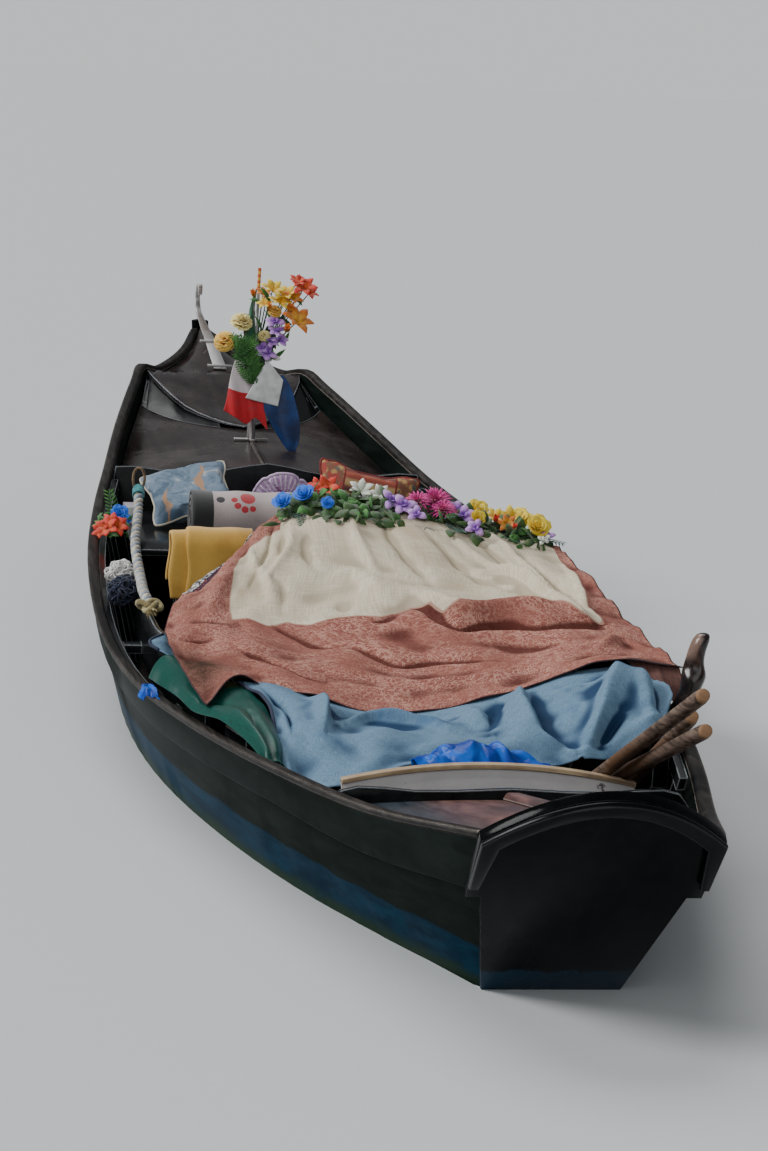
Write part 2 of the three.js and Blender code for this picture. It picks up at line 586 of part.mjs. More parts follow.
// Passenger seat on two cross panels, with a back whose top edge humps at the centre.
const panel = (y) => box(-SEAT.half + 20, y, floorTop(y) + 1, SEAT.half - 20, y + 18, SEAT.top - SEAT.board + 2);
add('passenger_seat', join([
  box(-SEAT.half, SEAT.from, SEAT.top - SEAT.board, SEAT.half, SEAT.to, SEAT.top),
  panel(SEAT.from + 30), panel(SEAT.to - 60),
]), FINISH.blackPaint);
// Columns: x, height of the top edge
const BACK_TOP = [[0, 715], [100, 709], [190, 684], [250, 644], [300, 624], [380, 620], [450, 612], [490, 588]];
add('seat_backrest', crossBoard([[-440, 36], [440, 36], [490, 360], ...[...BACK_TOP].reverse(),
  ...BACK_TOP.slice(1).map(([x, z]) => [-x, z]), [-490, 360]], BACK.y, BACK.thick), FINISH.blackPaint);

// Forward bench: a board the width of the boat on two cross panels. Columns: y, half width
const BENCH_EDGE = [[3760, 525], [4000, 520], [4200, 506], [4400, 482], [4600, 453]];
const benchBoard = loft(BENCH_EDGE.map(([y, half]) => [v3(-half, y, BENCH.top), v3(half, y, BENCH.top),
  v3(half, y, BENCH.top - BENCH.board), v3(-half, y, BENCH.top - BENCH.board)]));
const benchPanel = (y) => box(-BENCH.half, y, floorTop(y) + 1, BENCH.half, y + 18, BENCH.top - BENCH.board + 2);
add('forward_bench', join([benchBoard, benchPanel(3800), benchPanel(4500)]), FINISH.blackPaint);

// Blocks under the rails, and the carved oarlock that leans out over the starboard one.
const BLOCK = { from: 1370, to: 1530, width: 40, foot: 290, top: 395 };
for (const [name, side] of SIDES) {
  add(`oarlock_block_${name}`, loft([BLOCK.from, BLOCK.to].map((y) => {
    const outer = innerHalf(y, sheerAt(y).z - STRINGER.down) - STRINGER.depth - 0.5;
    return [v3(side * outer, y, BLOCK.foot), v3(side * outer, y, BLOCK.top),
      v3(side * (outer - BLOCK.width), y, BLOCK.top), v3(side * (outer - BLOCK.width), y, BLOCK.foot)];
  })), FINISH.walnut);
}
// Columns: x, y, z, half width, half depth
const OARLOCK = [
  [484, 1450, 400.7, 16, 30], [496, 1450, 417, 22, 32], [528, 1450, 448, 26, 30], [553, 1450, 487, 30, 32],
  [580, 1452, 520, 34, 34], [597, 1454, 552, 26, 26], [600, 1452, 580, 17, 20], [598, 1446, 608, 22, 26],
  [590, 1440, 634, 24, 30], [582, 1438, 650, 12, 16],
];
add('carved_oarlock', loft(OARLOCK.map(([x, y, z, a, b]) => Array.from({ length: 10 }, (_, i) => {
  const angle = ((i + 0.5) / 10) * 2 * Math.PI;
  return v3(x + a * Math.cos(angle), y + b * Math.sin(angle), z - 0.35 * a * Math.cos(angle));
}))), FINISH.walnut);

// Three short oars lean on the arched board, their blades down on the floorboards.
// Columns: x, y, z of the grip's end, then of the blade's tip
const OARS = [
  [324, 500, 682.2, 214, 1770, 55],
  [334, 500, 607, 289, 1930, 72],
  [374, 750, 588, 338, 1700, 50],
];
const OAR = { radius: 17, blade: 360, bladeHalf: 52, bladeThick: 7 };
OARS.forEach(([x0, y0, z0, x1, y1, z1], i) => {
  const [grip, tip] = [v3(x0, y0, z0), v3(x1, y1, z1)];
  const along = tip.clone().sub(grip).normalize();
  const wide = v3(0, 0, 1).cross(along).normalize();
  const up = along.clone().cross(wide);
  const length = grip.distanceTo(tip);
  // Columns: distance from the grip's end, half width, half thickness
  const rows = [
    [0, 12, 12], [5, OAR.radius, OAR.radius], [length - OAR.blade - 60, OAR.radius, OAR.radius],
    [length - OAR.blade, 24, 12], [length - OAR.blade + 90, OAR.bladeHalf, OAR.bladeThick],
    [length - 20, OAR.bladeHalf, OAR.bladeThick], [length, OAR.bladeHalf - 16, OAR.bladeThick - 2],
  ];
  add(`short_oar_${i + 1}`, loft(rows.map(([d, a, b]) => Array.from({ length: 12 }, (_, k) => {
    const angle = ((k + 0.5) / 12) * 2 * Math.PI;
    return grip.clone().addScaledVector(along, d).addScaledVector(wide, a * Math.cos(angle))
      .addScaledVector(up, b * Math.sin(angle));
  }))), FINISH.bareWood);
});

// Flag holder: a tube on a cross-shaped foot, and the staff that stands in it.
const holderFoot = lowerDeckPoint(0, HOLDER.y + 16).z + 1;
add('flag_holder', join([
  box(-58, HOLDER.y - 8, holderFoot, 58, HOLDER.y + 8, holderFoot + 6),
  box(-8, HOLDER.y - 44, holderFoot, 8, HOLDER.y + 16, holderFoot + 6),
  rod(v3(0, HOLDER.y, holderFoot + 3), v3(0, HOLDER.y, holderFoot + HOLDER.height), HOLDER.radius, 16),
]), FINISH.iron);
const staffFoot = v3(0, HOLDER.y, holderFoot + HOLDER.height + GAP);
add('flag_staff', rod(staffFoot, v3(6, HOLDER.y + 4, 1235), 6, 12), FINISH.paleWood);

// Pennants and a blank card hang in front of the holder. Outlines as x, z.
const FLAGS = [
  ['note_card', 5023, 2, FINISH.paper, [[-42, 806], [70, 782], [84, 861], [28, 936]]],
  ['pennant_blue', 5026.5, 3, FINISH.blueFlag, [[5, 808], [40, 690], [84, 634], [118, 648], [132, 683], [100, 790],
    [47, 870]]],
  ['pennant_tricolour', 5030, 3, FINISH.flagCloth, [[-101, 759], [17, 701], [60, 720], [20, 850], [-30, 900],
    [-60, 870]]],
];
for (const [name, y, thick, finish, outline] of FLAGS) add(name, crossBoard(outline, y, thick), finish);

// Bouquet: flower heads on stems that gather in front of the staff. Columns: x, y, z, radius
const BLOOMS = [
  [-115, 5050, 990, 34], [-64, 5055, 1059, 34], [39, 5060, 1170, 34], [92, 5060, 1166, 32], [142, 5065, 1184, 36],
  [120, 5060, 1062, 38], [28, 5045, 958, 30], [48, 5050, 1020, 32], [-47, 5060, 900, 34], [-47, 5060, 986, 30],
];
const STEM_BASE = v3(0, 5118, 800);
const bloomParts = BLOOMS.flatMap(([x, y, z, radius]) => [
  new THREE.IcosahedronGeometry(radius, 1).translate(x, y, z),
  rod(STEM_BASE, v3(x, y, z), 7, 6),
]);
add('bouquet', join([...bloomParts, new THREE.IcosahedronGeometry(24, 1).translate(0, 5119.5, 806)]), FINISH.petals);

// Cover: a wide cloth from its after hem up over the back of the seat. Rows run forward, points go from
// port to starboard.
const COVER = [
  [[-574, 1530, 446], [-469, 1700, 474], [-354, 1680, 449], [-264, 1650, 432], [-127, 1610, 414], [17, 1600, 432],
    [185, 1600, 478], [305, 1610, 516], [426, 1600, 554], [583, 1600, 529]],
  [[-611, 1900, 490], [-540, 1880, 481], [-401, 1900, 496], [-227, 1900, 475], [-52, 1900, 478], [97, 1900, 493],
    [247, 1900, 521], [387, 1860, 546], [514, 1880, 538], [590, 1880, 536]],
  [[-600, 2220, 516], [-520, 2200, 522], [-433, 2200, 529], [-336, 2200, 516], [-182, 2220, 531], [5, 2230, 573],
    [161, 2200, 586], [308, 2200, 593], [443, 2150, 587], [584, 2200, 560]],
  [[-507, 2520, 556], [-420, 2560, 590], [-340, 2640, 606], [-251, 2650, 617], [-89, 2650, 622], [65, 2600, 620],
    [230, 2580, 600], [384, 2550, 584], [482, 2520, 580], [586, 2520, 588]],
  [[-344, 2850, 598], [-320, 2870, 612], [-285, 2900, 653], [-220, 2930, 682], [-94, 2930, 722], [47, 2930, 714],
    [189, 2930, 698], [333, 2920, 674], [467, 2900, 646], [574, 2850, 625]],
  [[-262, 2990, 652], [-240, 3000, 662], [-200, 3010, 690], [-150, 3010, 714], [-80, 3010, 727], [47, 3010, 719],
    [189, 3010, 702], [333, 3010, 678], [467, 2990, 648], [574, 2950, 628]],
  [[-250, 3030, 618], [-230, 3040, 628], [-190, 3045, 650], [-140, 3045, 668], [-70, 3045, 678], [47, 3045, 672],
    [189, 3045, 656], [333, 3045, 636], [467, 3035, 610], [574, 2990, 590]],
];
const COVER_THICK = 4;
add('passenger_cover', cloth(COVER, COVER_THICK, 20, 26), FINISH.linen);

// Denim cloth that shows between the cover's hem and the arched board.
const DENIM = [
  [[-448, 1190, 366], [-404, 1110, 340], [-280, 1110, 352], [-156, 1190, 372], [0, 1220, 366], [170, 1220, 374],
    [300, 1210, 392], [440, 1250, 440]],
  [[-478, 1360, 412], [-400, 1290, 405], [-280, 1300, 410], [-156, 1300, 416], [0, 1300, 408], [171, 1310, 424],
    [300, 1310, 452], [450, 1350, 500]],
  [[-484, 1520, 430], [-400, 1560, 432], [-280, 1520, 418], [-156, 1500, 400], [0, 1480, 404], [171, 1480, 440],
    [300, 1490, 482], [470, 1500, 508]],
  [[-480, 1640, 447], [-400, 1700, 455], [-280, 1680, 429], [-156, 1640, 411], [0, 1630, 427], [171, 1630, 469],
    [300, 1640, 509], [470, 1640, 529]],
];
add('denim_cloth', cloth(DENIM, 3, 12, 20), FINISH.denim);

// Green cloth from under the cover out over the port rail.
const GREEN = [
  [[-466, 1200, 394.6], [-490, 1210, 420.6], [-508, 1220, 424.6], [-532, 1240, 406.2], [-560, 1260, 392.6]],
  [[-500, 1440, 436.6], [-530, 1450, 438.6], [-552, 1450, 418.6], [-586, 1450, 394.2], [-612, 1460, 382.6]],
  [[-540, 1720, 444.6], [-570, 1730, 440.6], [-600, 1740, 418.6], [-634, 1750, 389.5], [-660, 1760, 377.6]],
  [[-600, 2010, 464.6], [-616, 2010, 450.6], [-632, 2010, 418.6], [-664, 2010, 386], [-690, 2010, 373.6]],
];
add('green_cloth', cloth(GREEN, 4, 14, 12), FINISH.greenCloth);

// Crumpled blue plastic, one piece behind the arched board and one over the port rail.
const BLUE_BAG = [
  [[-150, 1048.4, 376], [-60, 1048.4, 384], [0, 1048.4, 388], [90, 1048.4, 382], [240, 1048.4, 362]],
  [[-150, 1130, 396], [-60, 1130, 424], [0, 1130, 430], [90, 1130, 420], [240, 1130, 384]],
  [[-150, 1170, 376], [-60, 1190, 392], [0, 1200, 396], [90, 1190, 392], [240, 1170, 370]],
];
const BAG_THICK = 12;
add('blue_bag', cloth(BLUE_BAG, BAG_THICK, 6, 12), FINISH.bluePlastic);

// Yellow blanket folded over the port end of the backrest.
const BLANKET = { from: -512, to: -300 };
const blanketOutline = [
  [2918, 451], [2936, 451], [2944, 559], [2946, 617], [2958, 631], [2978, 631], [2990, 617], [2992, 499],
  [3014, 499], [3012, 624], [2994, 649], [2968, 655], [2942, 649], [2924, 621],
];
const blanketShape = new THREE.Shape(blanketOutline.map(([y, z]) => new THREE.Vector2(y, z)));
add('yellow_blanket', new THREE.ExtrudeGeometry(blanketShape, {
  depth: BLANKET.to - BLANKET.from, bevelEnabled: false,
}).rotateX(Math.PI / 2).rotateZ(Math.PI / 2).translate(BLANKET.from, 0, -6.4), FINISH.yellowCloth);

// Cushions along the forward bench.
function place(geometry, lean, tilt, x, y, z) {
  return geometry.rotateX(lean).rotateY(tilt).translate(x, y, z);
}
add('cushion_blue', place(pillow(270, 56, 290), -1.15, -0.24, -300, 4330, 568.8), FINISH.blueCushion);
add('cushion_lace', place(new THREE.CylinderGeometry(88, 88, 50, 28), 0.45, 0, -4, 4340, 560.6), FINISH.lilacLace);
add('cushion_striped', place(pillow(330, 60, 132), -0.35, 0.19, 315, 4592, 564), FINISH.stripeCloth);

// Blanket rolled up in front of them.
const ROLL = { from: -345, to: 42, y: 3960, z: BENCH.top + 82.5, radius: 82 };
const rollShape = new THREE.LatheGeometry([[0, 0], [66, 0], [ROLL.radius, 14], [ROLL.radius, 373], [66, 387], [0, 387]]
  .map(([x, y]) => new THREE.Vector2(x, y)), 24);
add('rolled_blanket', rollShape.rotateZ(-Math.PI / 2).translate(ROLL.from, ROLL.y, ROLL.z), FINISH.roseCloth);

// Things that lie along the port side: flowers, a small box, two woollen pompoms and a twisted cord.
const CORD = [
  [-594, 2660, 486.5], [-596, 2800, 498.5], [-582, 3000, 494], [-566, 3240, 496], [-544, 3560, 510],
  [-512, 3860, 522], [-486, 4080, 540], [-470, 4250, 590],
];
const cordPath = new THREE.CatmullRomCurve3(CORD.map((p) => v3(...p)));
add('twisted_cord', alongPath(cordPath, 14, 30, 10), FINISH.ropeYarn);
const SMALL = [
  ['white_box', box(-500, 4300, BENCH.top + 0.5, -452, 4420, BENCH.top + 52), FINISH.paper],
  ['pompom_white', new THREE.IcosahedronGeometry(38, 2).translate(-603.3, 3345, 456), FINISH.whiteYarn],
  ['pompom_navy', new THREE.IcosahedronGeometry(38, 2).translate(-616.4, 3150, 442), FINISH.navyYarn],
  ['port_flowers', join([new THREE.IcosahedronGeometry(34, 1).translate(-602.3, 3800, 520),
    new THREE.IcosahedronGeometry(34, 1).translate(-560, 3890, 548),
    new THREE.IcosahedronGeometry(34, 1).translate(-582, 3850, 532)]), FINISH.petals],
];
for (const [name, geometry, finish] of SMALL) add(name, geometry, finish);

// Garland of leaves and flowers over the starboard half of the seat's back. Columns: x, y, z, radius
const GARLAND = [
  [60, 3040, 739, 26], [110, 3040, 739, 30], [165, 3040, 729, 32], [220, 3040, 723, 34], [280, 3040, 713, 34],
  [340, 3035, 701, 34], [400, 3030, 687, 34], [460, 3020, 675, 34], [515, 3000, 663, 32], [562, 2980, 651, 28],
];
add('garland', join(GARLAND.map(([x, y, z, r]) => new THREE.IcosahedronGeometry(r, 1).translate(x, y, z))),
  FINISH.leaves);

const bounds = new THREE.Box3().setFromObject(boat);
boat.position.set(0, -(bounds.min.y + bounds.max.y) / 2, -bounds.min.z);

export default boat;
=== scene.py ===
# A wooden rowing boat that carries passengers, dressed with cloths, cushions and flowers. It is built up
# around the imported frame, in metres: +X is starboard, +Y the bow, +Z up.
import math
import random

import bmesh
import bpy
import numpy as np
from mathutils import Matrix, Vector, geometry


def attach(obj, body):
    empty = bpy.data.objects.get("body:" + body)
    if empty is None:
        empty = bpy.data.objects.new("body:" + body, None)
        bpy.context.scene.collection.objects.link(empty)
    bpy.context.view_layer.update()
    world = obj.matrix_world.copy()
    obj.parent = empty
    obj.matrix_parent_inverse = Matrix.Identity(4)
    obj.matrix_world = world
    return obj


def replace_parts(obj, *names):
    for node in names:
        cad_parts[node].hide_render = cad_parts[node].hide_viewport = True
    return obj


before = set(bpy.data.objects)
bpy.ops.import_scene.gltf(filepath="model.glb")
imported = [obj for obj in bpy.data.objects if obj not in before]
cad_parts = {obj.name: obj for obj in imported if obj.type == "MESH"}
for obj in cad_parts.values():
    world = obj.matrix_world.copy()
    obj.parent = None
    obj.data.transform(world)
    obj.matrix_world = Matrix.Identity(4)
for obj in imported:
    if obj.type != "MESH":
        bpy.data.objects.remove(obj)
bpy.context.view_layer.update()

# CAMERA: it stands astern and a little to port, above the boat, and looks down its length.
# The lens is long, so the boat is foreshortened.
camera = bpy.data.objects.new("view", bpy.data.cameras.new("view"))
bpy.context.scene.collection.objects.link(camera)
bpy.context.scene.camera = camera
camera.data.sensor_fit = "VERTICAL"
camera.data.sensor_height = 36
camera.data.lens = 103.31
camera.data.clip_end = 900
camera.matrix_world = (
    Matrix.Translation((-1.5305, -9.3263, 1.9218))
    @ Matrix.Rotation(-0.1794984197, 4, "Z")
    @ Matrix.Rotation(math.pi / 2 - 0.1519629394, 4, "X")
    @ Matrix.Rotation(0.0506900952, 4, "Z")
)

# LIGHT: a dim pale surround, shown to the lens as pale as the floor, and three wide soft lights: from port,
# from ahead and above, and a weaker one from astern. Columns: where it shines from, degrees wide, strength.
world = bpy.data.worlds.new("pale surround")
bpy.context.scene.world = world
world.use_nodes = True
sky = world.node_tree
surround, beyond = sky.nodes["Background"], sky.nodes.new("ShaderNodeBackground")
for shown, colour, strength in ((surround, (0.86, 0.90, 0.94, 1), 0.20), (beyond, (0.62, 0.64, 0.65, 1), 1.13)):
    shown.inputs["Color"].default_value = colour
    shown.inputs["Strength"].default_value = strength
choice = sky.nodes.new("ShaderNodeMixShader")
seen = sky.nodes.new("ShaderNodeLightPath").outputs["Is Camera Ray"]
for index, source in enumerate((seen, surround.outputs[0], beyond.outputs[0])):
    sky.links.new(source, choice.inputs[index])
sky.links.new(choice.outputs[0], sky.nodes["World Output"].inputs["Surface"])
LAMPS = [((-0.85, 0.05, 0.62), 24, 2.5), ((-0.15, 0.55, 0.85), 40, 1.3), ((-0.15, -0.80, 0.50), 50, 0.85)]
for place, wide, strength in LAMPS:
    lamp = bpy.data.objects.new("wide light", bpy.data.lights.new("wide light", "SUN"))
    bpy.context.scene.collection.objects.link(lamp)
    lamp.data.angle = math.radians(wide)
    lamp.data.energy = strength
    lamp.rotation_euler = (-Vector(place)).to_track_quat("-Z", "Y").to_euler()

# FLOOR: one pale sheet at the waterline. It has an opening of the hull's own outline there, 5 mm inside
# the planks' outer face, so that it doesn't show inside the boat.
WATERLINE = 0.10
INSIDE_OUTLINE = 0.005
FLOOR_STEPS = (3, 9, 30, 100, 400)  # half widths of the floor's rings, in metres


def surface(name, **sockets):
    """A material whose shader has these values on its own sockets. Returns it, its tree and its shader."""
    material = bpy.data.materials.new(name)
    material.use_nodes = True
    shader = material.node_tree.nodes["Principled BSDF"]
    for socket, value in sockets.items():
        shader.inputs[socket.replace("_", " ")].default_value = value
    return material, material.node_tree, shader


crossing = []
for name in ("side_plank_port", "side_plank_starboard", "transom_board", "stem_post"):
    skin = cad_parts[name].data
    for edge in skin.edges:
        a, b = (skin.vertices[i].co for i in edge.vertices)
        if (a.z - WATERLINE) * (b.z - WATERLINE) < 0:
            crossing.append(a.lerp(b, (WATERLINE - a.z) / (b.z - a.z)).to_2d())
outline = [crossing[i] for i in geometry.convex_hull_2d(crossing)]
floor_mesh = bmesh.new()
rim = []
for i, p in enumerate(outline):
    along = (outline[(i + 1) % len(outline)] - outline[i - 1]).normalized()
    inward = Vector((-along.y, along.x))
    if inward.dot(-p) < 0:
        inward = -inward
    rim.append(floor_mesh.verts.new((*(p + INSIDE_OUTLINE * inward), WATERLINE)))
squares = [
    [floor_mesh.verts.new((x * far, y * (far + 3), WATERLINE)) for x, y in ((-1, -1), (1, -1), (1, 1), (-1, 1))]
    for far in FLOOR_STEPS
]
edges = [floor_mesh.edges.new((loop[i - 1], loop[i])) for loop in (rim, squares[0]) for i in range(len(loop))]
bmesh.ops.triangle_fill(floor_mesh, edges=edges, use_beauty=True, normal=(0, 0, 1))
for inner, outer in zip(squares, squares[1:]):
    for i in range(4):
        floor_mesh.faces.new((inner[i - 1], outer[i - 1], outer[i], inner[i]))
bmesh.ops.recalc_face_normals(floor_mesh, faces=floor_mesh.faces)
floor = bpy.data.objects.new("floor", bpy.data.meshes.new("floor"))
bpy.context.scene.collection.objects.link(floor)
floor_mesh.to_mesh(floor.data)
floor_mesh.free()
floor_paper, _, _ = surface("floor paper", Base_Color=(0.62, 0.64, 0.65, 1), Roughness=0.7)
floor.data.materials.append(floor_paper)


# TWISTED CORD: two thick strands of cream and blue-grey cotton laid round each other. It lies on the port
# side board, ends aft in a knot of yellow-brown yarn and forward in a bound loop.
def only(piece):
    """Makes a piece the only selected one, and active."""
    bpy.ops.object.select_all(action="DESELECT")
    piece.select_set(True)
    bpy.context.view_layer.objects.active = piece


def blend_points(points, at):
    """Points on a smooth curve through the given ones, at fractions of its number of spans."""
    points = np.asarray(points, float)
    at = np.asarray(at, float) * (len(points) - 1)
    span = np.minimum(at.astype(int), len(points) - 2)
    w = (at - span).reshape((-1,) + (1,) * (points.ndim - 1))
    held = np.concatenate([[2 * points[0] - points[1]], points, [2 * points[-1] - points[-2]]])
    a, b, c, d = (held[span + i] for i in range(4))
    ab, bc, cd = (np.maximum(((q - p) ** 2).sum(-1, keepdims=True) ** 0.25, 1e-9) for p, q in ((a, b), (b, c), (c, d)))
    t1 = ((b - a) / ab - (c - a) / (ab + bc) + (c - b) / bc) * bc
    t2 = ((c - b) / bc - (d - b) / (bc + cd) + (d - c) / cd) * bc
    return b + t1 * w + (3 * (c - b) - 2 * t1 - t2) * w**2 + (2 * (b - c) + t1 + t2) * w**3


def mesh_piece(name, points, faces, material, smooth=True):
    """A piece from plain lists of points and faces."""
    mesh = bpy.data.meshes.new(name)
    mesh.from_pydata([tuple(p) for p in points], [], faces)
    mesh.materials.append(material)
    mesh.polygons.foreach_set("use_smooth", [smooth] * len(faces))
    piece = bpy.data.objects.new(name, mesh)
    bpy.context.scene.collection.objects.link(piece)
    return piece


def strand(line, radius, sides=10, taper=0.35):
    """Points and faces of a round strand along a line, closed at both ends."""
    line = [Vector(p) for p in line]
    points, faces = [], []
    side = Vector((0, 0, 1)).cross(line[1] - line[0]).normalized()
    for i, p in enumerate(line):
        along = (line[min(i + 1, len(line) - 1)] - line[max(i - 1, 0)]).normalized()
        side = (side - along * side.dot(along)).normalized()
        up = along.cross(side)
        size = radius * (taper if i in (0, len(line) - 1) else 1)
        for k in range(sides):
            angle = 2 * math.pi * k / sides
            points.append(p + size * (math.cos(angle) * side + math.sin(angle) * up))
    for i in range(len(line) - 1):
        for k in range(sides):
            a, b = i * sides + k, i * sides + (k + 1) % sides
            faces.append((a, b, b + sides, a + sides))
    faces.append(tuple(reversed(range(sides))))
    faces.append(tuple(range(len(points) - sides, len(points))))
    return points, faces


def merged(parts):
    """Joins lists of points and faces into one."""
    points, faces = [], []
    for some, those in parts:
        faces += [tuple(i + len(points) for i in face) for face in those]
        points += some
    return points, faces


def node(tree, kind, inputs=None, **settings):
    """A shader node with its settings, and its inputs linked or set."""
    made = tree.nodes.new(kind)
    for key, value in settings.items():
        setattr(made, key, value)
    for socket, value in (inputs or {}).items():
        if isinstance(value, bpy.types.NodeSocket):
            tree.links.new(value, made.inputs[socket])
        else:
            made.inputs[socket].default_value = value
    return made


def group(name, inputs, outputs):
    """An empty node group with named number, colour and vector sockets."""
    kinds = {"value": "NodeSocketFloat", "colour": "NodeSocketColor", "vector": "NodeSocketVector"}
    tree = bpy.data.node_groups.new(name, "ShaderNodeTree")
    for label, (kind, value) in inputs.items():
        socket = tree.interface.new_socket(label, in_out="INPUT", socket_type=kinds[kind])
        if value is not None:
            socket.default_value = value
    for label, kind in outputs.items():
        tree.interface.new_socket(label, in_out="OUTPUT", socket_type=kinds[kind])
    return tree, tree.nodes.new("NodeGroupInput").outputs, tree.nodes.new("NodeGroupOutput").inputs


def effect_in(tree, effect, **inputs):
    """Places a node group in a material with its own values and returns its outputs."""
    return node(tree, "ShaderNodeGroup", inputs, node_tree=effect).outputs


def maths(tree, operation, *values):
    """The result of one number operation."""
    return node(tree, "ShaderNodeMath", dict(enumerate(values)), operation=operation).outputs[0]


def mottle(tree, place, scale, detail=2.0, rough=0.5, swirl=0.0):
    """Soft noise from 0 to 1."""
    inputs = {"Vector": place, "Scale": scale, "Detail": detail, "Roughness": rough, "Distortion": swirl}
    return node(tree, "ShaderNodeTexNoise", inputs).outputs["Fac"]


def object_place(tree):
    """Places on the piece itself, in metres."""
    return node(tree, "ShaderNodeTexCoord").outputs["Object"]


def along_axis(tree, place, axis):
    """One of a place's three measures."""
    return node(tree, "ShaderNodeSeparateXYZ", {"Vector": place}).outputs[axis]


def between(tree, factor, low, high):
    """A colour between two, by a factor."""
    mix = node(tree, "ShaderNodeMix", data_type="RGBA")
    tree.links.new(factor, mix.inputs["Factor"])
    for index, value in ((6, low), (7, high)):
        if isinstance(value, bpy.types.NodeSocket):
            tree.links.new(value, mix.inputs[index])
        else:
            mix.inputs[index].default_value = (*value, 1)
    return mix.outputs[2]


def ramp(tree, factor, low, high):
    """0 below low and 1 above high, or the other way round when low is the larger."""
    made = node(tree, "ShaderNodeMapRange", {"Value": factor, "From Min": low, "From Max": high},
                interpolation_type="SMOOTHSTEP", clamp=True)
    return made.outputs["Result"]


def finished(tree, shader, colour, height, strength, distance=0.001):
    """Links a colour and a fine relief to a shader."""
    tree.links.new(colour, shader.inputs["Base Color"])
    bump = node(tree, "ShaderNodeBump", {"Height": height, "Strength": strength, "Distance": distance})
    tree.links.new(bump.outputs["Normal"], shader.inputs["Normal"])


def placed(slot, *pieces, replaces=None):
    """Puts pieces on the boat's body. The slot is not used. The first one may stand for a node."""
    for piece in pieces:
        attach(piece, "root")
    if replaces:
        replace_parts(pieces[0], replaces)


# Yarn: fine fibres along a strand, lighter where they stand up.
yarn, given, out = group("yarn fibres", {"Place": ("vector", None), "Pitch": ("value", 900.0)},
                         {"Tone": "value", "Height": "value"})
fibres = mottle(yarn, given["Place"], given["Pitch"], 5.0, rough=0.65)
clumps = mottle(yarn, given["Place"], 45.0, 3.0)
yarn.links.new(ramp(yarn, maths(yarn, "MULTIPLY", fibres, clumps), 0.12, 0.42), out["Tone"])
yarn.links.new(fibres, out["Height"])


def yarn_finish(name, dark, light):
    """Spun yarn between two shades."""
    material, tree, shader = surface(name, Roughness=0.95, Sheen_Weight=0.3)
    fibre = effect_in(tree, yarn, Place=object_place(tree))
    finished(tree, shader, between(tree, fibre["Tone"], dark, light), fibre["Height"], 0.6, 0.002)
    return material


CORD_ROUTE = [
    (-0.594, -0.703, 0.4865), (-0.596, -0.563, 0.4985), (-0.582, -0.363, 0.494), (-0.566, -0.123, 0.496),
    (-0.544, 0.197, 0.510), (-0.512, 0.497, 0.522), (-0.486, 0.717, 0.540), (-0.470, 0.887, 0.590),
]
CORD_STEPS = 160
CORD_LAY = 0.085  # along the cord for one turn of its strands
STRAND_RADIUS, STRAND_OFFSET = 0.0080, 0.0072
UP = Vector((0, 0, 1))
cord_line = blend_points(CORD_ROUTE, np.linspace(0, 1, CORD_STEPS + 1))
cord_long = float(np.linalg.norm(np.diff(cord_line, axis=0), axis=1).sum())
cream_yarn = yarn_finish("cream cotton", (0.42, 0.36, 0.26), (0.80, 0.74, 0.60))
grey_yarn = yarn_finish("blue grey cotton", (0.16, 0.20, 0.25), (0.42, 0.48, 0.55))
strands = []
for turn in range(2):
    laid = []
    for i, p in enumerate(cord_line):
        along = Vector(cord_line[min(i + 1, CORD_STEPS)] - cord_line[max(i - 1, 0)]).normalized()
        side = UP.cross(along).normalized()
        angle = 2 * math.pi * i / CORD_STEPS * cord_long / CORD_LAY + math.pi * turn
        laid.append(Vector(p) + STRAND_OFFSET * (math.cos(angle) * side + math.sin(angle) * along.cross(side)))
    strands.append(strand(laid, STRAND_RADIUS, 10))
cord = mesh_piece("twisted_cord_strands", *merged(strands), cream_yarn)
cord.data.materials.append(grey_yarn)
half = len(cord.data.polygons) // 2
cord.data.polygons.foreach_set("material_index", [0] * half + [1] * half)

KNOT_STEPS, KNOT_AT, KNOT_SIZE = 96, Vector((-0.594, -0.716, 0.486)), 0.0115
TASSEL_AT, TASSEL_THREADS = Vector((-0.594, -0.730, 0.482)), 26
knot_line = []
for i in range(KNOT_STEPS + 1):
    t = 2 * math.pi * i / KNOT_STEPS
    knot_line.append(KNOT_AT + KNOT_SIZE * Vector((
        math.sin(t) + 2 * math.sin(2 * t), math.cos(t) - 2 * math.cos(2 * t), -0.9 * math.sin(3 * t))))
knot_yarn = yarn_finish("yellow brown yarn", (0.16, 0.12, 0.04), (0.50, 0.42, 0.20))
knot_parts = [strand(knot_line, 0.0075, 8, 1.0)]
chance = random.Random(4)
for i in range(TASSEL_THREADS):
    hang = Vector((chance.uniform(-0.016, 0.016), -chance.uniform(0.03, 0.05), chance.uniform(-0.022, 0.004)))
    tip = TASSEL_AT + hang
    knot_parts.append(strand([TASSEL_AT, TASSEL_AT.lerp(tip, 0.5) + 0.003 * UP, tip], 0.0016, 5, 0.7))
knot = mesh_piece("cord_knot", *merged(knot_parts), knot_yarn)

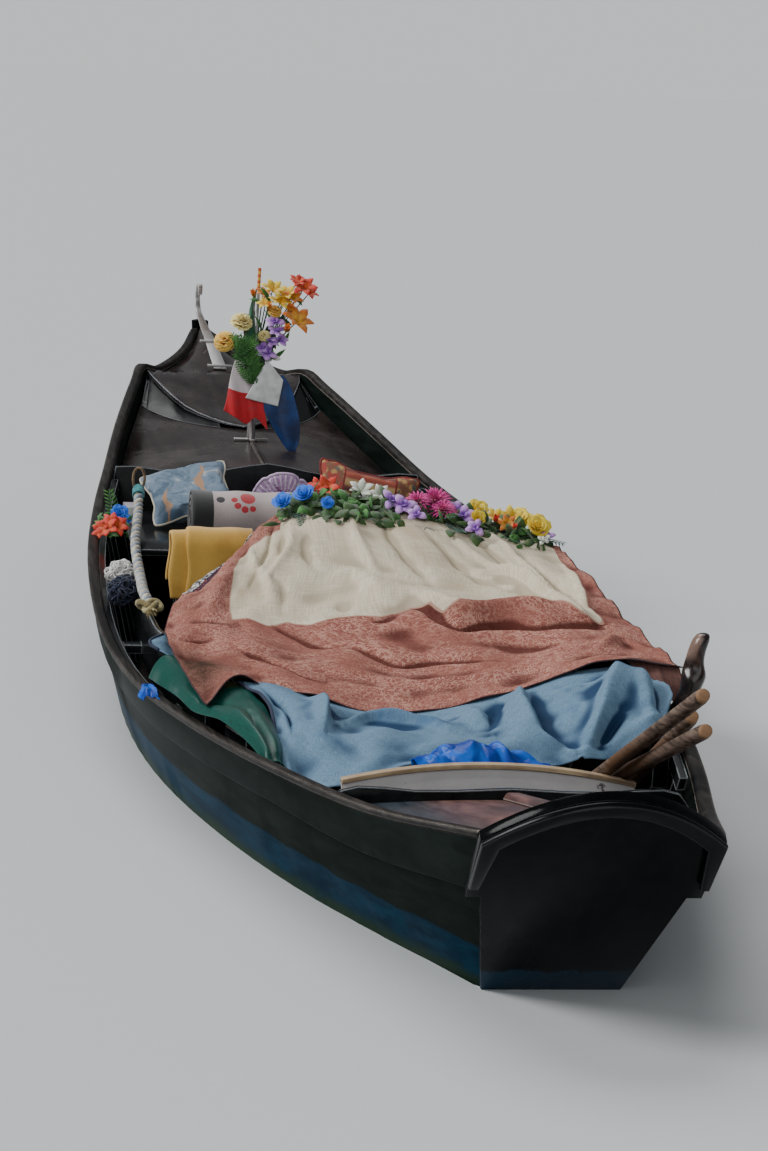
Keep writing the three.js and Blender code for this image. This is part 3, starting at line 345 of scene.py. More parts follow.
loop_yarn = yarn_finish("brown yarn", (0.10, 0.06, 0.03), (0.34, 0.22, 0.12))
teal_yarn = yarn_finish("teal yarn", (0.01, 0.10, 0.12), (0.05, 0.36, 0.38))
top = Vector(CORD_ROUTE[-1])
loop_line = [top + Vector((0.018 * math.sin(t), 0.004 * math.sin(2 * t), 0.035 * (1 - math.cos(t)) - 0.006))
             for t in np.linspace(0, 2 * math.pi, 33)]
loop = mesh_piece("cord_loop", *strand(loop_line, 0.0045, 8, 1.0), loop_yarn)
BOUND_TURNS, BOUND_STEPS, BOUND_PITCH, BOUND_RADIUS = 10, 12, 0.0052, 0.0165
down = (Vector(CORD_ROUTE[-2]) - top).normalized()
side = UP.cross(down).normalized()
bound = []
for i in range(BOUND_TURNS * BOUND_STEPS + 1):
    t = 2 * math.pi * i / BOUND_STEPS
    round_it = math.cos(t) * side + math.sin(t) * down.cross(side)
    bound.append(top + down * (0.008 + BOUND_PITCH * i / BOUND_STEPS) + BOUND_RADIUS * round_it)
binding = mesh_piece("cord_binding", *strand(bound, 0.0030, 6, 1.0), teal_yarn)
placed("rope_yarn", cord, knot, loop, binding, replaces="twisted_cord")


# HULL PLANKING: each side is one wide lower plank and a top strake that laps over it, bent round the ribs
# and nailed. The paint is a black green gone matt, blue below the old waterline, and scuffed along the lap.
def applied(piece, label, kind, **settings):
    """Works a modifier with these settings into a piece's mesh."""
    only(piece)
    made = piece.modifiers.new(label, kind)
    for key, value in settings.items():
        setattr(made, key, value)
    bpy.ops.object.modifier_apply(modifier=made.name)


def fair_copy(source, name, slot, finish, corner=0.0015, smooth=35):
    """A piece from a frame node: its triangles merged to faces, its corners eased."""
    only(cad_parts[source])
    bpy.ops.object.duplicate()
    piece = bpy.context.object
    piece.name = name
    for key in [k for k in piece.keys() if k.startswith("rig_")]:
        del piece[key]
    piece.data.materials.clear()
    piece.data.materials.append(finish)
    piece.data.polygons.foreach_set("material_index", [0] * len(piece.data.polygons))
    bpy.ops.mesh.customdata_custom_splitnormals_clear()
    bpy.ops.object.mode_set(mode="EDIT")
    bpy.ops.mesh.select_all(action="SELECT")
    bpy.ops.mesh.remove_doubles(threshold=0.00005)
    bpy.ops.mesh.tris_convert_to_quads(face_threshold=math.radians(10), shape_threshold=math.radians(80))
    bpy.ops.object.mode_set(mode="OBJECT")
    if corner:
        applied(piece, "eased corners", "BEVEL", width=corner, segments=2, limit_method="ANGLE",
                angle_limit=math.radians(32))
    bpy.ops.object.shade_smooth_by_angle(angle=math.radians(smooth))
    placed(slot, piece, replaces=source)
    return piece


# Grain: streaks that run along the boat, broad ones and fine ones.
grain, given, out = group("wood grain", {"Place": ("vector", None), "Across": ("value", 60.0), "Along": ("value", 3.0)},
                          {"Streak": "value", "Fine": "value"})
stretch = node(grain, "ShaderNodeCombineXYZ", {"X": given["Across"], "Y": given["Along"], "Z": given["Across"]})
run = node(grain, "ShaderNodeVectorMath", {0: given["Place"], 1: stretch.outputs[0]}, operation="MULTIPLY")
broad = mottle(grain, run.outputs[0], 1.0, 4.0, swirl=0.4)
fine = mottle(grain, run.outputs[0], 6.0, 3.0)
grain.links.new(ramp(grain, broad, 0.3, 0.7), out["Streak"])
grain.links.new(fine, out["Fine"])

# Wear: corners rubbed through, in patches, and stains that lie at random.
wear, given, out = group(
    "rubbed corners", {"Place": ("vector", None), "Reach": ("value", 0.006), "Amount": ("value", 0.5)},
    {"Edge": "value", "Stain": "value"})
eased = node(wear, "ShaderNodeBevel", {"Radius": given["Reach"]}, samples=6)
flat = node(wear, "ShaderNodeNewGeometry")
facing = node(wear, "ShaderNodeVectorMath", {0: eased.outputs["Normal"], 1: flat.outputs["Normal"]},
              operation="DOT_PRODUCT")
corner = maths(wear, "SUBTRACT", 1.0, facing.outputs["Value"])
patch = mottle(wear, given["Place"], 9.0, 8.0, rough=0.7)
rubbed = maths(wear, "MULTIPLY", maths(wear, "MULTIPLY", corner, patch), given["Amount"])
wear.links.new(ramp(wear, rubbed, 0.012, 0.05), out["Edge"])
spot = mottle(wear, given["Place"], 2.3, 7.0, rough=0.62)
wear.links.new(ramp(wear, spot, 0.42, 0.68), out["Stain"])


def wooden(name, across, along, reach=None, amount=None, **sockets):
    """Wood or painted wood: its material, tree, shader, place, grain and, where it is worn, its wear."""
    material, tree, shader = surface(name, **sockets)
    place = object_place(tree)
    worn = effect_in(tree, wear, Place=place, Reach=reach, Amount=amount) if reach else None
    return material, tree, shader, place, effect_in(tree, grain, Place=place, Across=across, Along=along), worn


def patchy_gloss(tree, shader, worn, share, least):
    """A roughness that goes up with the stains."""
    tree.links.new(maths(tree, "MULTIPLY_ADD", worn["Stain"], share, least), shader.inputs["Roughness"])


def stained(tree, worn, share, tone, colour):
    """A tone with a share of a stain's colour over it."""
    return between(tree, maths(tree, "MULTIPLY", worn["Stain"], share), tone, colour)


hull_paint, tree, shader, place, wood, worn = wooden("hull paint", 26.0, 1.1, 0.006, 0.9, Roughness=0.42,
                                                     Specular_IOR_Level=0.01)
ragged = maths(tree, "MULTIPLY_ADD", wood["Streak"], 0.012, along_axis(tree, place, "Z"))
paint = between(tree, wood["Streak"], (0.0030, 0.0062, 0.0050), (0.0085, 0.0135, 0.0115))
paint = stained(tree, worn, 0.5, paint, (0.013, 0.016, 0.014))
below = between(tree, wood["Streak"], (0.004, 0.018, 0.034), (0.008, 0.034, 0.062))
below = between(tree, ramp(tree, ragged, 0.15, 0.112), below, (0.020, 0.040, 0.026))  # green slime
paint = between(tree, ramp(tree, ragged, 0.205, 0.215), below, paint)
patchy_gloss(tree, shader, worn, 0.22, 0.34)
finished(tree, shader, between(tree, worn["Edge"], paint, (0.09, 0.085, 0.08)), wood["Fine"], 0.25, 0.0015)
for side in ("port", "starboard"):
    fair_copy(f"side_plank_{side}", f"lower_plank_{side}", "hull_wood", hull_paint, 0.0015)
    fair_copy(f"top_strake_{side}", f"lapped_strake_{side}", "hull_wood", hull_paint, 0.004)

# BOTTOM: flat planks nailed across the chines, from side to side, under matt blue paint. Only their ends
# show, below the lower planks.
bottom_paint, tree, shader, _, wood, _ = wooden("blue bottom paint", 20.0, 2.0, Roughness=0.6,
                                                Specular_IOR_Level=0.1)
paint = between(tree, wood["Streak"], (0.006, 0.028, 0.06), (0.016, 0.062, 0.115))
finished(tree, shader, paint, wood["Fine"], 0.4, 0.002)
fair_copy("bottom_planking", "flat_bottom", "bottom_wood", bottom_paint, 0.003)

# GUNWALE RAILS: ash strips that cap the strakes, once black and rubbed to grey brown wood by hands,
# ropes and quays, palest on their corners.
rail_wood, tree, shader, _, wood, worn = wooden("worn rail", 90.0, 4.0, 0.007, 2.2, Roughness=0.45,
                                                Specular_IOR_Level=0.05)
bare = between(tree, wood["Streak"], (0.009, 0.008, 0.0075), (0.042, 0.037, 0.033))
bare = between(tree, worn["Stain"], bare, (0.007, 0.0065, 0.0065))
finished(tree, shader, between(tree, worn["Edge"], bare, (0.34, 0.30, 0.27)), wood["Fine"], 0.5)
for side in ("port", "starboard"):
    fair_copy(f"gunwale_rail_{side}", f"capping_rail_{side}", "worn_wood", rail_wood, 0.003)

# TRANSOM: a crowned board across the plank ends under gloss black paint, blue at its foot, with a rounded rim
# planted round its top. Ropes have chipped the rim to pale primer.
gloss_black, tree, shader, place, wood, worn = wooden("gloss black paint", 30.0, 2.0, 0.004, 0.2, Roughness=0.16,
                                                      Specular_IOR_Level=0.07)
paint = between(tree, wood["Streak"], (0.0012, 0.0015, 0.0018), (0.0035, 0.004, 0.0045))
ragged = maths(tree, "MULTIPLY_ADD", wood["Streak"], 0.012, along_axis(tree, place, "Z"))
paint = between(tree, ramp(tree, ragged, 0.165, 0.153), paint, (0.006, 0.026, 0.050))
patchy_gloss(tree, shader, worn, 0.25, 0.13)
finished(tree, shader, between(tree, worn["Edge"], paint, (0.12, 0.13, 0.14)), wood["Fine"], 0.12)
chipped_black, tree, shader = surface("chipped black paint", Roughness=0.2, Specular_IOR_Level=0.12)
place = object_place(tree)
worn = effect_in(tree, wear, Place=place, Reach=0.008, Amount=0.8)
flake = mottle(tree, place, 34.0, 9.0, rough=0.72)
chip = ramp(tree, maths(tree, "MULTIPLY", flake, worn["Stain"]), 0.52, 0.56)
paint = between(tree, chip, (0.002, 0.0025, 0.003), (0.50, 0.52, 0.52))
finished(tree, shader, between(tree, worn["Edge"], paint, (0.055, 0.058, 0.062)), chip, -0.4)
fair_copy("transom_board", "stern_board", "black_wood", gloss_black, 0.002)
fair_copy("transom_rim", "stern_rim", "black_wood", chipped_black, 0.0)

# STEM: a wedge of oak forward of the plank ends, which are nailed to it. It has the transom's gloss black
# paint, with eased corners.
fair_copy("stem_post", "stem_wedge", "black_wood", gloss_black, 0.004)

# FOREDECKS: varnished boards, the upper one from the stem aft to a swept edge, the lower one from there to
# the coaming, with step boards between. The varnish is deep and scratched, edges are rubbed to pale blue.
varnish, tree, shader, place, wood, worn = wooden("dark deck varnish", 24.0, 2.2, 0.007, 1.3, Roughness=0.2,
                                                  Specular_IOR_Level=0.2)
tone = between(tree, wood["Streak"], (0.012, 0.009, 0.009), (0.034, 0.023, 0.021))
tone = stained(tree, worn, 0.5, tone, (0.060, 0.049, 0.048))
scratch = mottle(tree, place, 120.0, 2.0, swirl=3.0)
tone = between(tree, ramp(tree, scratch, 0.70, 0.74), tone, (0.20, 0.19, 0.19))
patchy_gloss(tree, shader, worn, 0.3, 0.12)
finished(tree, shader, between(tree, worn["Edge"], tone, (0.42, 0.47, 0.52)), wood["Fine"], 0.18)
fair_copy("upper_foredeck", "upper_deck", "dark_deck", varnish, 0.003, 50)
fair_copy("lower_foredeck", "lower_deck", "dark_deck", varnish, 0.003, 50)
for side in ("port", "starboard"):
    fair_copy(f"foredeck_step_{side}", f"step_board_{side}", "black_wood", gloss_black, 0.0)
fair_copy("foredeck_batten", "deck_batten", "worn_wood", rail_wood, 0.002)

# BOW IRON: a forged strap down the deck's middle that rises from the stem and curls back. It is bright
# where it is handled and brown with rust in its corners.
iron, tree, shader = surface("forged iron", Metallic=0.85, Roughness=0.4)
place = object_place(tree)
worn = effect_in(tree, wear, Place=place, Reach=0.005, Amount=1.6)
pits = mottle(tree, place, 160.0, 6.0)
metal = between(tree, pits, (0.26, 0.25, 0.25), (0.56, 0.55, 0.54))
metal = between(tree, worn["Stain"], metal, (0.16, 0.12, 0.10))
finished(tree, shader, between(tree, worn["Edge"], metal, (0.75, 0.75, 0.75)), pits, 0.5)
fair_copy("bow_iron", "bow_strap", "iron", iron, 0.0015, 50)
fair_copy("flag_holder", "staff_holder", "iron", iron, 0.0010)

# COAMINGS, RIBS AND SIDE BOARDS: boards across the boat at both ends of the well, ribs held by a stringer,
# and scalloped boards inboard of them. All are gloss black, rubbed pale on their top edges.
edge_black, tree, shader, _, wood, worn = wooden("black paint with rubbed edges", 30.0, 2.0, 0.006, 1.1,
                                                 Roughness=0.2, Specular_IOR_Level=0.10)
paint = between(tree, wood["Streak"], (0.0025, 0.003, 0.0035), (0.008, 0.0095, 0.010))
paint = stained(tree, worn, 0.35, paint, (0.022, 0.025, 0.028))
finished(tree, shader, between(tree, worn["Edge"], paint, (0.38, 0.41, 0.43)), wood["Fine"], 0.2)
fair_copy("forward_coaming", "fore_bulkhead", "black_wood", edge_black, 0.004)
fair_copy("aft_coaming", "after_bulkhead", "black_wood", edge_black, 0.004)
for side in ("port", "starboard"):
    fair_copy(f"ribs_{side}", f"ribs_and_stringer_{side}", "black_wood", edge_black, 0.0)
    fair_copy(f"side_board_{side}", f"scalloped_board_{side}", "black_wood", edge_black, 0.0025)
    fair_copy(f"oarlock_block_{side}", f"oarlock_seat_{side}", "walnut", edge_black, 0.004)

# AFT DECK: crowned boards, red brown where the paint has gone and blue black along the sides, with a
# rounded batten down the middle.
aft_wood, tree, shader, place, wood, worn = wooden("worn aft deck", 40.0, 3.0, 0.006, 1.4, Roughness=0.35,
                                                   Specular_IOR_Level=0.15)
centre = ramp(tree, maths(tree, "ABSOLUTE", along_axis(tree, place, "X")), 0.24, 0.14)
red = between(tree, wood["Streak"], (0.085, 0.040, 0.035), (0.20, 0.105, 0.090))
dark = between(tree, wood["Streak"], (0.012, 0.018, 0.026), (0.045, 0.060, 0.080))
tone = stained(tree, worn, 0.6, between(tree, centre, dark, red), (0.035, 0.030, 0.034))
finished(tree, shader, between(tree, worn["Edge"], tone, (0.40, 0.34, 0.31)), wood["Fine"], 0.4)
fair_copy("aft_deck", "after_deck", "red_wood", aft_wood, 0.003, 50)
fair_copy("aft_batten", "after_batten", "red_wood", aft_wood, 0.004, 50)

# ARCHED BOARD: it stands across the well under a bent cap strip of bare pale wood, its own face painted
# light grey and marked.
grey_paint, tree, shader = surface("light grey paint", Roughness=0.55)
place = object_place(tree)
worn = effect_in(tree, wear, Place=place, Reach=0.006, Amount=1.2)
mark = mottle(tree, place, 14.0, 8.0, rough=0.7)
tone = between(tree, mark, (0.42, 0.40, 0.40), (0.66, 0.64, 0.63))
tone = between(tree, ramp(tree, mark, 0.64, 0.68), tone, (0.07, 0.06, 0.06))
finished(tree, shader, between(tree, worn["Edge"], tone, (0.30, 0.18, 0.10)), mark, 0.2, 0.002)
pale_wood, tree, shader, _, wood, worn = wooden("bare pale wood", 16.0, 16.0, 0.005, 1.0, Roughness=0.55)
tone = between(tree, wood["Streak"], (0.30, 0.20, 0.11), (0.52, 0.38, 0.22))
tone = between(tree, worn["Stain"], tone, (0.20, 0.13, 0.09))
finished(tree, shader, between(tree, worn["Edge"], tone, (0.62, 0.50, 0.34)), wood["Fine"], 0.4)
fair_copy("arched_board", "arched_panel", "grey_board", grey_paint, 0.002)
fair_copy("arched_board_cap", "arched_cap", "pale_wood", pale_wood, 0.003, 50)

# FLOORBOARDS: loose boards that lie over the bottom in the well. They are bare wood, grey brown with dirt
# and with no finish left.
floor_wood, tree, shader, _, wood, _ = wooden("floor wood", 40.0, 3.0, Roughness=0.75)
tone = between(tree, wood["Streak"], (0.035, 0.027, 0.021), (0.10, 0.08, 0.062))
finished(tree, shader, tone, wood["Fine"], 0.5)
fair_copy("floorboards", "loose_floorboards", "bare_wood", floor_wood, 0.0015)

# SEAT AND BENCH: plain boards on cross panels between the ribs, under the same rubbed black paint. The back
# of the seat stands up in a hump.
SEATING = (("passenger_seat", "seat_board"), ("seat_backrest", "seat_back"), ("forward_bench", "fore_bench"))
for source, name in SEATING:
    fair_copy(source, name, "black_wood", edge_black, 0.003)

# OARLOCK: one piece of walnut carved into elbows for the oar, oiled nearly black, with a painted highlight on its high
# faces that turn to port.
# It stands in its block and leans out over the starboard rail.
walnut, tree, shader, place, wood, _ = wooden("oiled walnut", 60.0, 60.0, Roughness=0.25, Specular_IOR_Level=0.3,
                                              Coat_Weight=0.3, Coat_Roughness=0.12)
tone = between(tree, wood["Streak"], (0.006, 0.004, 0.004), (0.034, 0.020, 0.016))
# Painted highlight: the high faces that turn to port, towards the strongest lamp, are lightened to a pale brown.
high = ramp(tree, along_axis(tree, place, "Z"), 0.575, 0.60)
to_port = ramp(tree, along_axis(tree, node(tree, "ShaderNodeNewGeometry").outputs["Normal"], "X"), -0.1, -0.5)
tone = between(tree, maths(tree, "MULTIPLY", high, to_port), tone, (0.20, 0.125, 0.095))
finished(tree, shader, tone, wood["Fine"], 0.25)
OARLOCK_Y = -1.913
OARLOCK_ROWS = [  # x, z, half width, half depth
    (0.486, 0.4007, 0.017, 0.028), (0.500, 0.420, 0.023, 0.030), (0.529, 0.450, 0.027, 0.030),
    (0.549, 0.480, 0.027, 0.032), (0.558, 0.503, 0.025, 0.034), (0.563, 0.522, 0.026, 0.034),
    (0.569, 0.545, 0.031, 0.036), (0.567, 0.562, 0.028, 0.032), (0.567, 0.580, 0.023, 0.026),
    (0.572, 0.608, 0.021, 0.027), (0.580, 0.632, 0.022, 0.026), (0.587, 0.650, 0.015, 0.018),
]


def picked(piece, test):
    """In edit mode, selects the points for which a test of their place holds."""
    shape = bmesh.from_edit_mesh(piece.data)
    for vertex in shape.verts:
        vertex.select_set(test(vertex.co))
    shape.select_flush_mode()
    bmesh.update_edit_mesh(piece.data)


bpy.ops.object.select_all(action="DESELECT")
foot_x, foot_z = OARLOCK_ROWS[0][:2]
bpy.ops.mesh.primitive_circle_add(vertices=12, radius=1, fill_type="NGON", location=(foot_x, OARLOCK_Y, foot_z))
oarlock = bpy.context.object
oarlock.name = "oarlock"
bpy.ops.object.transform_apply(location=True, rotation=False, scale=False)
oarlock.data.materials.append(walnut)
bpy.ops.object.mode_set(mode="EDIT")
bpy.ops.mesh.select_all(action="SELECT")
before = (0, 0, 1, 1)
for x, z, wide, deep in OARLOCK_ROWS:
    if before[2] < 1:
        bpy.ops.mesh.extrude_region_move(TRANSFORM_OT_translate={"value": (x - before[0], 0, z - before[1])})
    bpy.ops.transform.resize(value=(wide / before[2], deep / before[3], 1), center_override=(x, OARLOCK_Y, z))
    before = (x, z, wide, deep)
picked(oarlock, lambda p: 0.55 < p.z < 0.59 and p.y < OARLOCK_Y - 0.012 and p.x < 0.575)  # the elbow's hollow
bpy.ops.transform.translate(value=(0.004, 0.012, 0))
bpy.ops.mesh.select_all(action="SELECT")
bpy.ops.mesh.normals_make_consistent(inside=False)
bpy.ops.object.mode_set(mode="OBJECT")
applied(oarlock, "carved round", "SUBSURF", levels=2, render_levels=2)
bpy.ops.object.shade_smooth()
placed("walnut", oarlock, replaces="carved_oarlock")

# SHORT OARS: three lie with their grips on the arched board and their blades on the floorboards. The looms
# are weathered, grey brown on the handled side and dark in the grain.
oar_wood, tree, shader, place, wood, worn = wooden("weathered oar", 110.0, 7.0, 0.006, 0.8, Roughness=0.6,
                                                   Specular_IOR_Level=0.2)
tone = between(tree, wood["Streak"], (0.035, 0.022, 0.016), (0.20, 0.145, 0.110))
tone = between(tree, worn["Stain"], tone, (0.12, 0.060, 0.028))
for grip in ((0.324, -2.863, 0.682), (0.334, -2.863, 0.607), (0.374, -2.613, 0.588)):
    away = node(tree, "ShaderNodeVectorMath", {0: place, 1: grip}, operation="DISTANCE").outputs["Value"]
    tone = between(tree, ramp(tree, away, 0.0185, 0.0165), tone, (0.28, 0.16, 0.085))
finished(tree, shader, between(tree, worn["Edge"], tone, (0.36, 0.30, 0.25)), wood["Fine"], 0.5)
for number in (1, 2, 3):
    oar = fair_copy(f"short_oar_{number}", f"oar_{number}", "bare_wood", oar_wood, 0.0, 50)
    grip_end = min(v.co.y for v in oar.data.vertices)
    only(oar)
    bpy.ops.object.mode_set(mode="EDIT")
    picked(oar, lambda p: p.y < grip_end + 0.02)
    bpy.ops.transform.edge_crease(value=0.8)
    bpy.ops.object.mode_set(mode="OBJECT")
    applied(oar, "turned round", "SUBSURF", levels=1, render_levels=1)


# DENIM UNDERCLOTH: a thick light blue cotton sheet, tucked under the cover and heaped in front of the seat.
# It is creased in overlapping folds, with painted shade in their hollows, and its port edge is bound in navy tape.
DENIM_NET = [  # x, y, z in millimetres, from port to starboard
    [(-448, -2173, 366), (-404, -2253, 340), (-280, -2253, 352), (-156, -2173, 372), (0, -2143, 366),
     (170, -2143, 374), (300, -2153, 392), (440, -2113, 436), (478, -2090, 430)],
    [(-434, -2003, 410), (-380, -2053, 412), (-280, -2063, 410), (-156, -2063, 416), (0, -2063, 408),
     (171, -2053, 424), (300, -2053, 452), (450, -2013, 492), (500, -1985, 470)],
    [(-428, -1843, 434), (-376, -1823, 442), (-280, -1843, 420), (-156, -1863, 402), (0, -1883, 412),
     (171, -1883, 450), (300, -1873, 490), (460, -1863, 512), (520, -1850, 490)],
    [(-474, -1634, 460), (-405, -1655, 460), (-280, -1683, 429), (-156, -1723, 411), (0, -1733, 427),
     (171, -1733, 469), (300, -1723, 509), (450, -1723, 527), (515, -1723, 518)],
]


def net_surface(net, rows, columns):
    """A fine net of points, in metres, through a coarse one in millimetres."""
    coarse = np.array(net, float) / 1000
    lines = blend_points(np.swapaxes(coarse, 0, 1), np.linspace(0, 1, columns))
    return blend_points(np.swapaxes(lines, 0, 1), np.linspace(0, 1, rows))


def net_size(points):
    """The mean width and length of a net of points."""
    width = np.linalg.norm(np.diff(points, axis=1), axis=-1).sum(1).mean()
    length = np.linalg.norm(np.diff(points, axis=0), axis=-1).sum(0).mean()
    return width, length


def flat_map(points):
    """A net's flat map, in metres: how far across and how far along each point lies."""
    width, length = net_size(points)
    rows, columns = points.shape[:2]
    return np.stack(np.meshgrid(np.linspace(0, width, columns), np.linspace(0, length, rows)), -1)


def to_line(flat, line):
    """Distance of flat points to a line, which side they lie on and how far along it, from 0 to 1."""
    reach = np.full(flat.shape[:-1], 1e9)
    side, along = np.zeros(flat.shape[:-1]), np.zeros(flat.shape[:-1])
    steps = np.linalg.norm(np.diff(line, axis=0), axis=-1)
    for k, step in enumerate(steps):
        a, way = line[k], line[k + 1] - line[k]
        t = np.clip((flat - a) @ way / (step * step), 0, 1)
        away = flat - a - t[..., None] * way
        distance = np.linalg.norm(away, axis=-1)
        nearer = distance < reach
        reach = np.where(nearer, distance, reach)
        side = np.where(nearer, np.sign(way[0] * away[..., 1] - way[1] * away[..., 0]), side)
        along = np.where(nearer, (steps[:k].sum() + t * step) / steps.sum(), along)
    return reach, side, along


def outward(points):
    """Unit normals of a net of points, upward."""
    normal = np.cross(np.gradient(points, axis=1), np.gradient(points, axis=0))
    normal /= np.maximum(np.linalg.norm(normal, axis=-1, keepdims=True), 1e-9)
    return normal * np.where(normal[..., 2:].mean() < 0, -1, 1)


def folded(points, folds, seed, ripple, wavelength, deeper=1.0):
    """Presses folds and small ripples into a net. Fold columns: height, half width, lean, route."""
    rows, columns = points.shape[:2]
    width, length = net_size(points)
    u, v = np.meshgrid(np.linspace(0, 1, columns), np.linspace(0, 1, rows))
    flat = np.stack([u * width, v * length], -1)
    height = np.zeros(u.shape)
    for rise, half, lean, route in folds:
        route = blend_points(np.array(route) * (width, length), np.linspace(0, 1, 8 * len(route)))
        reach, side, along = to_line(flat, route)
        spread = half * (1 + lean * side)
        fades = np.sin(np.pi * np.clip(along, 0.06, 0.94)) ** 0.6
        height += deeper * rise * np.exp(-((reach / spread) ** 1.5)) * fades
    wave = random.Random(seed)
    for k in range(14):
        angle, phase = wave.uniform(0, math.pi), wave.uniform(0, 2 * math.pi)
        scale = wavelength * wave.uniform(0.6, 2.2)
        way = flat @ (math.cos(angle), math.sin(angle)) / scale * 2 * math.pi
        swirl = np.sin(flat @ (math.sin(angle) * 9, math.cos(angle) * 7) + phase)
        height += ripple * 0.3 * np.sin(way + phase + 1.6 * swirl) * scale / wavelength
    return points + outward(points) * height[..., None], flat


def hollows(points, plain, reach):
    """How far each point lies below its surroundings, in metres."""
    height = ((points - plain) * outward(plain)).sum(-1)
    mean, share = height, np.ones(2 * reach + 1) / (2 * reach + 1)
    for axis in (0, 1):
        padded = np.pad(mean, [(reach, reach) if each == axis else (0, 0) for each in (0, 1)], mode="edge")
        mean = np.apply_along_axis(np.convolve, axis, padded, share, "valid")
    return mean - height


def cloth_piece(name, points, flat, finishes, thick, masks=()):
    """A sheet from a net of points: its flat map, finishes of face, back and edges, thickness and masks."""
    rows, columns = points.shape[:2]
    quads = [
        (i * columns + j, i * columns + j + 1, (i + 1) * columns + j + 1, (i + 1) * columns + j)
        for i in range(rows - 1)
        for j in range(columns - 1)
    ]
    face, back, edges = finishes
    piece = mesh_piece(name, points.reshape(-1, 3), quads, face)
    mesh = piece.data
    mesh.materials.append(back)
    mesh.materials.append(edges)
    layer = mesh.uv_layers.new(name="flat")
    corners = np.zeros(len(mesh.loops), int)
    mesh.loops.foreach_get("vertex_index", corners)
    layer.data.foreach_set("uv", flat.reshape(-1, 2)[corners].ravel())
    for mask, values in masks:
        mesh.attributes.new(mask, "FLOAT", "POINT").data.foreach_set("value", values.ravel())
    applied(piece, "cloth thickness", "SOLIDIFY", thickness=thick, offset=0, material_offset=1, material_offset_rim=2)
    return piece


# Weave: threads both ways on the cloth's own flat map, with thicker slubs here and there.
weave, given, out = group(
    "woven threads", {"Place": ("vector", None), "Threads": ("value", 700.0), "Slubs": ("value", 14.0)},
    {"Weave": "value", "Slub": "value"})
waves = [maths(weave, "SINE", maths(weave, "MULTIPLY", along_axis(weave, given["Place"], axis), given["Threads"]))
         for axis in "XY"]
weave.links.new(maths(weave, "MULTIPLY", *waves), out["Weave"])
slubs = []
for stretch in ((1.0, 26.0, 1.0), (26.0, 1.0, 1.0)):
    pulled = node(weave, "ShaderNodeVectorMath", {0: given["Place"], 1: stretch}, operation="MULTIPLY")
    slubs.append(mottle(weave, pulled.outputs[0], given["Slubs"], 3.0))
weave.links.new(ramp(weave, maths(weave, "ADD", *slubs), 0.75, 1.25), out["Slub"])


def flat_place(tree):
    """The cloth's own flat map, in metres."""
    return node(tree, "ShaderNodeUVMap", uv_map="flat").outputs["UV"]


def point_mask(tree, name):
    """A mask that a piece carries on its points."""
    return node(tree, "ShaderNodeAttribute", attribute_name=name).outputs["Fac"]


def woven_cloth(name, dark, light, stain, threads=700.0, slubs=14.0, **sockets):
    """A woven cloth between two shades, with stains. Returns its material, tree, shader and colour."""
    material, tree, shader = surface(name, **sockets)
    place = flat_place(tree)
    threads_in = effect_in(tree, weave, Place=place, Threads=threads, Slubs=slubs)
    tone = between(tree, threads_in["Slub"], dark, light)
    cloud = mottle(tree, place, 5.0, 6.0, rough=0.6)
    tone = between(tree, ramp(tree, cloud, 0.5, 0.75), tone, stain)
    relief = maths(tree, "MULTIPLY_ADD", threads_in["Weave"], 0.3, threads_in["Slub"])
    finished(tree, shader, tone, relief, 0.25, 0.0008)
    return material, tree, shader, tone


def slub_finish(tree, shader, place, colour, threads, slubs, strength, distance):
    """Gives a cloth its colour and the relief of its threads."""
    slub = effect_in(tree, weave, Place=place, Threads=threads, Slubs=slubs)["Slub"]
    finished(tree, shader, colour, slub, strength, distance)


denim_face, tree, shader, tone = woven_cloth(
    "light blue denim", (0.085, 0.165, 0.26), (0.20, 0.32, 0.43), (0.050, 0.12, 0.23), threads=2600.0, slubs=60.0,
    Roughness=0.75, Specular_IOR_Level=0.15)
# Painted shade: the hollows between the folds are darkened to a deep blue.
painted_crease_shade = ramp(tree, point_mask(tree, "hollow"), 0.0005, 0.008)
tree.links.new(between(tree, painted_crease_shade, tone, (0.013, 0.044, 0.104)), shader.inputs["Base Color"])
navy_tape = woven_cloth("navy tape", (0.010, 0.016, 0.04), (0.022, 0.032, 0.07), (0.01, 0.014, 0.03), threads=3000.0,
                        Roughness=0.8)[0]
DENIM_FOLDS = [
    (0.026, 0.03, -0.55, [(0.612, 0.99), (0.631, 0.846), (0.624, 0.567), (0.624, 0.275), (0.684, 0.074)]),
    (0.014, 0.022, -0.3, [(0.54, 0.932), (0.542, 0.848), (0.55, 0.435)]),
    (-0.012, 0.016, 0.0, [(0.591, 0.922), (0.578, 0.727), (0.543, 0.405)]),
    (0.034, 0.034, 0.2, [(0.854, 0.988), (0.807, 0.529), (0.756, 0.265), (0.711, 0.06)]),
    (0.012, 0.02, 0.0, [(0.87, 0.776), (0.856, 0.178)]),
    (0.008, 0.016, 0.0, [(0.693, 0.727), (0.758, 0.691), (0.812, 0.645)]),
    (-0.022, 0.018, 0.0, [(0.749, 0.104), (0.78, 0.242), (0.803, 0.327)]),
    (-0.016, 0.02, 0.4, [(0.06, 0.994), (0.089, 0.892), (0.091, 0.655), (0.081, 0.415)]),
    (0.02, 0.024, -0.4, [(0.189, 0.874), (0.227, 0.784), (0.201, 0.439)]),
    (0.018, 0.018, 0.3, [(0.263, 0.55), (0.35, 0.7), (0.438, 0.62), (0.481, 0.5)]),
    (-0.014, 0.02, 0.0, [(0.28, 0.72), (0.367, 0.84), (0.455, 0.76)]),
    (-0.016, 0.02, 0.0, [(0.91, 0.8), (0.93, 0.55), (0.9, 0.3)]),
    (0.012, 0.016, 0.0, [(0.955, 0.75), (0.965, 0.5), (0.94, 0.25)]),
]
DENIM, DENIM_THICK, TAPE_RADIUS = [denim_face] * 3, 0.003, 0.0042
plain = net_surface(DENIM_NET, 100, 200)
